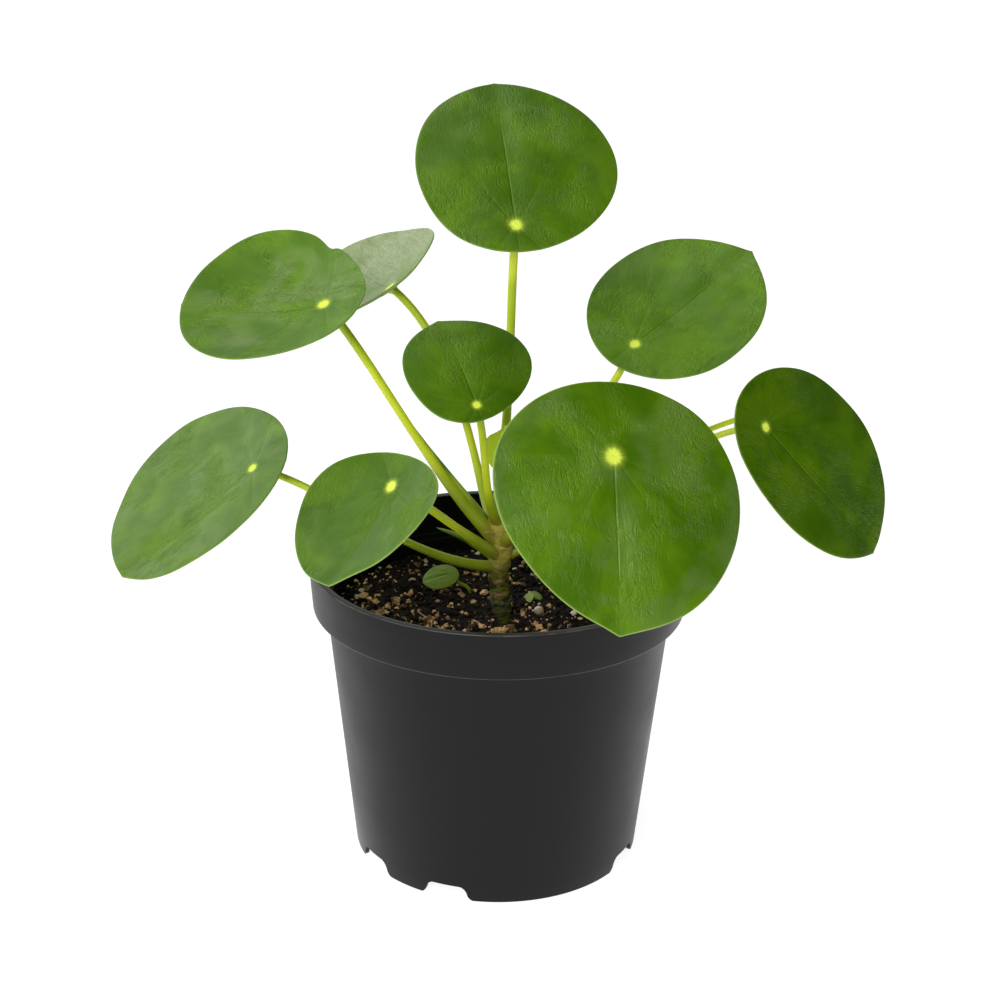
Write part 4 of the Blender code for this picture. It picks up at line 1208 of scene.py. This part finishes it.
def plastic_finish():
    material, wires, shader = new_material("black_plastic")
    spot = wires.spot()
    grain = wires.group(grain_group, Place=spot, Size=0.35)
    patches = wires.group(grain_group, Place=spot, Size=1.6)["Patches"]
    black = wires.mix(wires.fade(patches, 0.3, 0.7), colour(6, 6, 6), colour(10, 10, 10))
    x, y, height = wires.split(spot)
    out = wires.far(x, y)
    edges = 0.0
    for edge_radius, edge_height in EDGE_HIGHLIGHTS_AND_WEAR:
        off = wires.most(wires.apart(out, edge_radius * MM), wires.apart(height, edge_height * MM))
        edges = wires.most(edges, wires.fade(off, 0.4 * MM, 0.15 * MM))
    # painted highlight and wear along the edges
    highlight_and_wear = wires.times(edges, wires.fade(grain["Patches"], 0.25, 0.6, 0.4, 1.0))
    black = wires.mix(wires.times(highlight_and_wear, 0.75), black, colour(112, 111, 110))
    dust = wires.times(wires.group(dust_group, Place=spot, Amount=0.22, Speck_Size=0.5)["Mask"], 0.6)
    wires.dress(shader, Base_Color=wires.mix(dust, black, colour(84, 68, 48)),
                Roughness=wires.fade(patches, 0.3, 0.7, 0.34, 0.44), Specular_IOR_Level=0.24,
                Normal=wires.bump(grain["Grain"], 0.03 * MM, 0.5))
    return material


pot = turned("pot_fine", pot_profile(), POT_SIDES, [plastic_finish()])
inner, outer = (BASE_RADIUS + reach for reach in NOTCH_CUT)
cutters = [drain(0, 0)]
for azimuth in (pair + off for pair in NOTCH_PAIRS for off in (-NOTCH_SPREAD, NOTCH_SPREAD)):
    cutters.append(prism(notch_outline(), inner, outer, azimuth))
    hole = heading(azimuth) * DRAIN_CIRCLE
    cutters.append(drain(hole.x, hole.y))
cut(pot, cutters)
pot.data.shade_smooth()
pot.data.set_sharp_from_angle(angle=radians(SHARP_ANGLE))
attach(pot, "root")
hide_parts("pot")
print("pot of", len(pot.data.polygons), "faces")

# %% [markdown]
# ## Potting mix
# The mix is dark peat with bark chips, fibres and white perlite. From above one sees hundreds of single
# crumbs, so each is its own small faceted lump. They are scattered by a seeded draw and joined into three
# meshes by colour: dark crumbs, tan bark and pale perlite. Particles would be lighter but don't export.

# %% Soil surface
SOIL_LEVEL = 69.0
SOIL_RELIEF = 0.35
SOIL_WAVES = (                 # radians per millimetre along x and y, phase, share
    (0.31, 0.27, 0.9, 0.5),
    (0.31, -0.27, 1.7, 0.5),
    (0.83, -0.55, 0.0, 0.6),
    (0.62, 0.71, 3.6, 0.5),
)
SOIL_EDGE_DROP = 1.2           # how much lower the soil lies at the wall
SOIL_SIDES = 150
SOIL_RINGS = 48
CLODS = 0.9                    # height of the finer unevenness
SOIL_BOTTOM = FLOOR_UNDERSIDE + WALL + GAP


def soil_height(x, y):
    """Height of the packed soil's gentle waves."""
    waves = 0.0
    for along_x, along_y, phase, share in SOIL_WAVES:
        waves += share * sin(along_x * x + along_y * y + phase)
    return SOIL_LEVEL + SOIL_RELIEF * waves


def clod_height(x, y):
    """The soil's height with its clods."""
    rough = noise.noise(Vector((x * 0.35, y * 0.35, 3))) + 0.6 * noise.noise(Vector((x * 0.9, y * 0.9, 7)))
    rough += 0.35 * noise.noise(Vector((x * 2.1, y * 2.1, 11)))
    return soil_height(x, y) + CLODS * rough


def soil_mesh():
    top_radius = body_radius(SOIL_LEVEL - 1) - WALL - GAP
    ways = ways_round(SOIL_SIDES)
    points = [(0, 0, clod_height(0, 0))]
    for ring in range(1, SOIL_RINGS + 1):
        radius = top_radius * ring / SOIL_RINGS
        drop = SOIL_EDGE_DROP if ring == SOIL_RINGS else 0
        points += [(radius * x, radius * y, clod_height(radius * x, radius * y) - drop) for x, y in ways]
    foot = body_radius(SOIL_BOTTOM) - WALL - GAP
    points += [(foot * x, foot * y, SOIL_BOTTOM) for x, y in ways]
    last = len(points)
    points.append((0, 0, SOIL_BOTTOM))
    faces = grid_faces(SOIL_RINGS + 1, SOIL_SIDES, start=1) + fan(0, 1, SOIL_SIDES)
    return points, faces + fan(last, last - SOIL_SIDES, SOIL_SIDES, flip=True)


print("the mix lies", round(POT_HEIGHT - SOIL_LEVEL, 1), "mm under the rim")

# %% Crumbs, chips, fibres and perlite
draw = random.Random(23)
DARK_CRUMBS = 2300
BARK_CHIPS = 1300
PERLITE_GRAINS = 60
FIBRES = 14
FIBRE_STEPS = 7
FIBRE_SIDES = 6
BALL_PLACE = (11.2, -1.9, SOIL_LEVEL + 1.2)
BALL_SIZE = 1.45
BALL_ROOM = 4.0                # no other grain of perlite lies this near to the large one
CRUMB_FLOOR = 46.0             # nothing lies further out than this
LUMPS = (                      # x, y, size and number of the largest tan lumps
    (11.1, -12.2, 1.0, 6), (12.7, -15.0, 0.9, 4), (1.0, -15.4, 1.5, 12), (2.6, -14.6, 1.2, 6),
    (-33.0, -4.0, 1.2, 8), (-31.8, -3.7, 1.0, 4), (-35.1, 4.7, 1.3, 2), (-31.3, 3.5, 1.1, 2),
    (-29.2, 5.6, 1.0, 3), (-26.1, 0.6, 1.0, 3), (-24.9, 10.1, 1.2, 2), (-38.1, 8.4, 1.5, 1),
    (-4.5, 11.6, 1.4, 2), (-7.4, 12.4, 1.0, 3), (-5.0, -10.1, 1.0, 5), (-7.7, -13.5, 0.9, 6),
    (6.0, -2.5, 0.9, 3), (-14.0, -12.0, 0.9, 7), (-18.0, -7.0, 1.0, 6),
)


def lump(size, stretch, jag, subdivisions):
    """A rough rounded lump: an icosphere pushed in and out by its own draw."""
    bm = bmesh.new()
    bmesh.ops.create_icosphere(bm, subdivisions=subdivisions, radius=1.0)
    offset = Vector((draw.uniform(0, 90), draw.uniform(0, 90), 0))
    turn = Matrix.Rotation(draw.uniform(0, 2 * pi), 3, "Z") @ Matrix.Rotation(draw.uniform(-0.9, 0.9), 3, "X")
    points = []
    for vert in bm.verts:
        push = 1 + jag * noise.noise(vert.co * 1.7 + offset)
        points.append(turn @ Vector([c * s * size * push for c, s in zip(vert.co, stretch)]))
    faces = [tuple(v.index for v in face.verts) for face in bm.faces]
    bm.free()
    return points, faces


def scatter(count, sizes, stretches, jag, lift, subdivisions=1, crowd=None):
    """Many lumps lying on the soil, each as (points, faces)."""
    parts = []
    while len(parts) < count:
        away = CRUMB_FLOOR * draw.random() ** 0.5
        turn = draw.uniform(0, 2 * pi)
        x, y = away * cos(turn), away * sin(turn)
        if crowd and draw.random() > crowd(x, y):
            continue
        size = draw.uniform(*sizes) * draw.uniform(0.6, 1.0)
        stretch = [draw.uniform(*span) for span in stretches]
        points, faces = lump(size, stretch, jag, subdivisions)
        centre = Vector((x, y, clod_height(x, y) + size * lift))
        parts.append(([tuple(p + centre) for p in points], faces))
    return parts


def fibre(x, y):
    """A short bent root or bark thread."""
    length = draw.uniform(3, 9)
    way = heading(draw.uniform(0, 360), draw.uniform(-4, 14))
    side = way.orthogonal().normalized() * draw.uniform(-1.2, 1.2)
    start = Vector((x, y, clod_height(x, y) + 0.4))
    line = []
    for i in range(FIBRE_STEPS + 1):
        line.append(start + way * length * i / FIBRE_STEPS + side * sin(pi * i / FIBRE_STEPS))
    return swept(line, [draw.uniform(0.12, 0.28)] * len(line), FIBRE_SIDES)


def more_in_front(x, y):
    """The chance that a chip stays: they gather in the front and left of the pot."""
    return 0.35 + 0.65 * max(0.0, min(1.0, (10 - y) / 40 + (5 - x) / 60))


print("largest tan lumps:", sum(count for _, _, _, count in LUMPS))

# %% Soil finishes and pieces
def crumb_finish(name, dark, light, size, rough, bump):
    """Crumbs of mixed tones: each cell of a fine pattern has its own."""
    material, wires, shader = new_material(name)
    spot = wires.spot()
    grain = wires.group(grain_group, Place=spot, Size=size)
    cells = wires.add("ShaderNodeTexVoronoi", {"Vector": spot, "Scale": 0.45 / MM}).outputs["Color"]
    pick = wires.add("ShaderNodeSeparateColor", {"Color": cells}).outputs[0]
    tone = wires.plus(wires.times(pick, 0.6), wires.times(grain["Grain"], 0.4))
    wires.dress(shader, Base_Color=wires.mix(wires.fade(tone, 0.2, 0.85), dark, light), Roughness=rough,
                Specular_IOR_Level=0.3, Normal=wires.bump(grain["Grain"], bump * MM, 0.9))
    return material


peat = crumb_finish("peat", colour(4, 3, 2), colour(32, 20, 10), 0.5, 0.9, 0.3)
bark = crumb_finish("bark_chips", colour(84, 52, 28), colour(246, 200, 146), 0.6, 0.75, 0.3)
perlite = crumb_finish("perlite", colour(172, 150, 126), colour(244, 232, 214), 0.4, 0.7, 0.2)

crumbs = scatter(DARK_CRUMBS, (0.35, 1.25), ((0.8, 1.4), (0.7, 1.1), (0.6, 1.0)), 0.5, 0.25)
points, faces = joined([soil_mesh()] + crumbs)
soil = add_piece("potting_mix_fine", points, faces, [peat], 20)
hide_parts("soil")

chips = scatter(BARK_CHIPS, (0.25, 1.0), ((0.8, 1.5), (0.6, 1.0), (0.5, 0.9)), 0.9, 0.45, 1, more_in_front)
for x, y, size, count in LUMPS:
    for _ in range(count):
        points, faces = lump(size * draw.uniform(0.45, 1.0), (1.2, 0.9, 0.8), 0.8, 2)
        spread = size * (count > 1)
        at = Vector((x + draw.gauss(0, spread), y + draw.gauss(0, 0.7 * spread), 0))
        at.z = clod_height(at.x, at.y) + 0.5 * size
        chips.append(([tuple(p + at) for p in points], faces))
for _ in range(FIBRES):
    away = CRUMB_FLOOR * 0.95 * draw.random() ** 0.5
    turn = draw.uniform(0, 2 * pi)
    chips.append(fibre(away * cos(turn), away * sin(turn)))
points, faces = joined(chips)
chip_piece = add_piece("bark_and_fibres", points, faces, [bark], 25)

grains = scatter(PERLITE_GRAINS, (0.4, 1.1), ((0.9, 1.2), (0.9, 1.1), (0.8, 1.0)), 0.35, 0.35, 2)
ball_points, ball_faces = lump(BALL_SIZE, (1.0, 1.0, 0.9), 0.15, 3)
ball_place = Vector(BALL_PLACE)
grains = [grain for grain in grains if (Vector(grain[0][0]) - ball_place).length > BALL_ROOM]
grains.append(([tuple(p + ball_place) for p in ball_points], ball_faces))
points, faces = joined(grains)
grain_piece = add_piece("perlite_grains", points, faces, [perlite], 40)
for piece in (soil, chip_piece, grain_piece):
    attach(piece, "root")
print("soil", len(soil.data.polygons), "chips", len(chip_piece.data.polygons), "perlite",
      len(grain_piece.data.polygons), "faces")
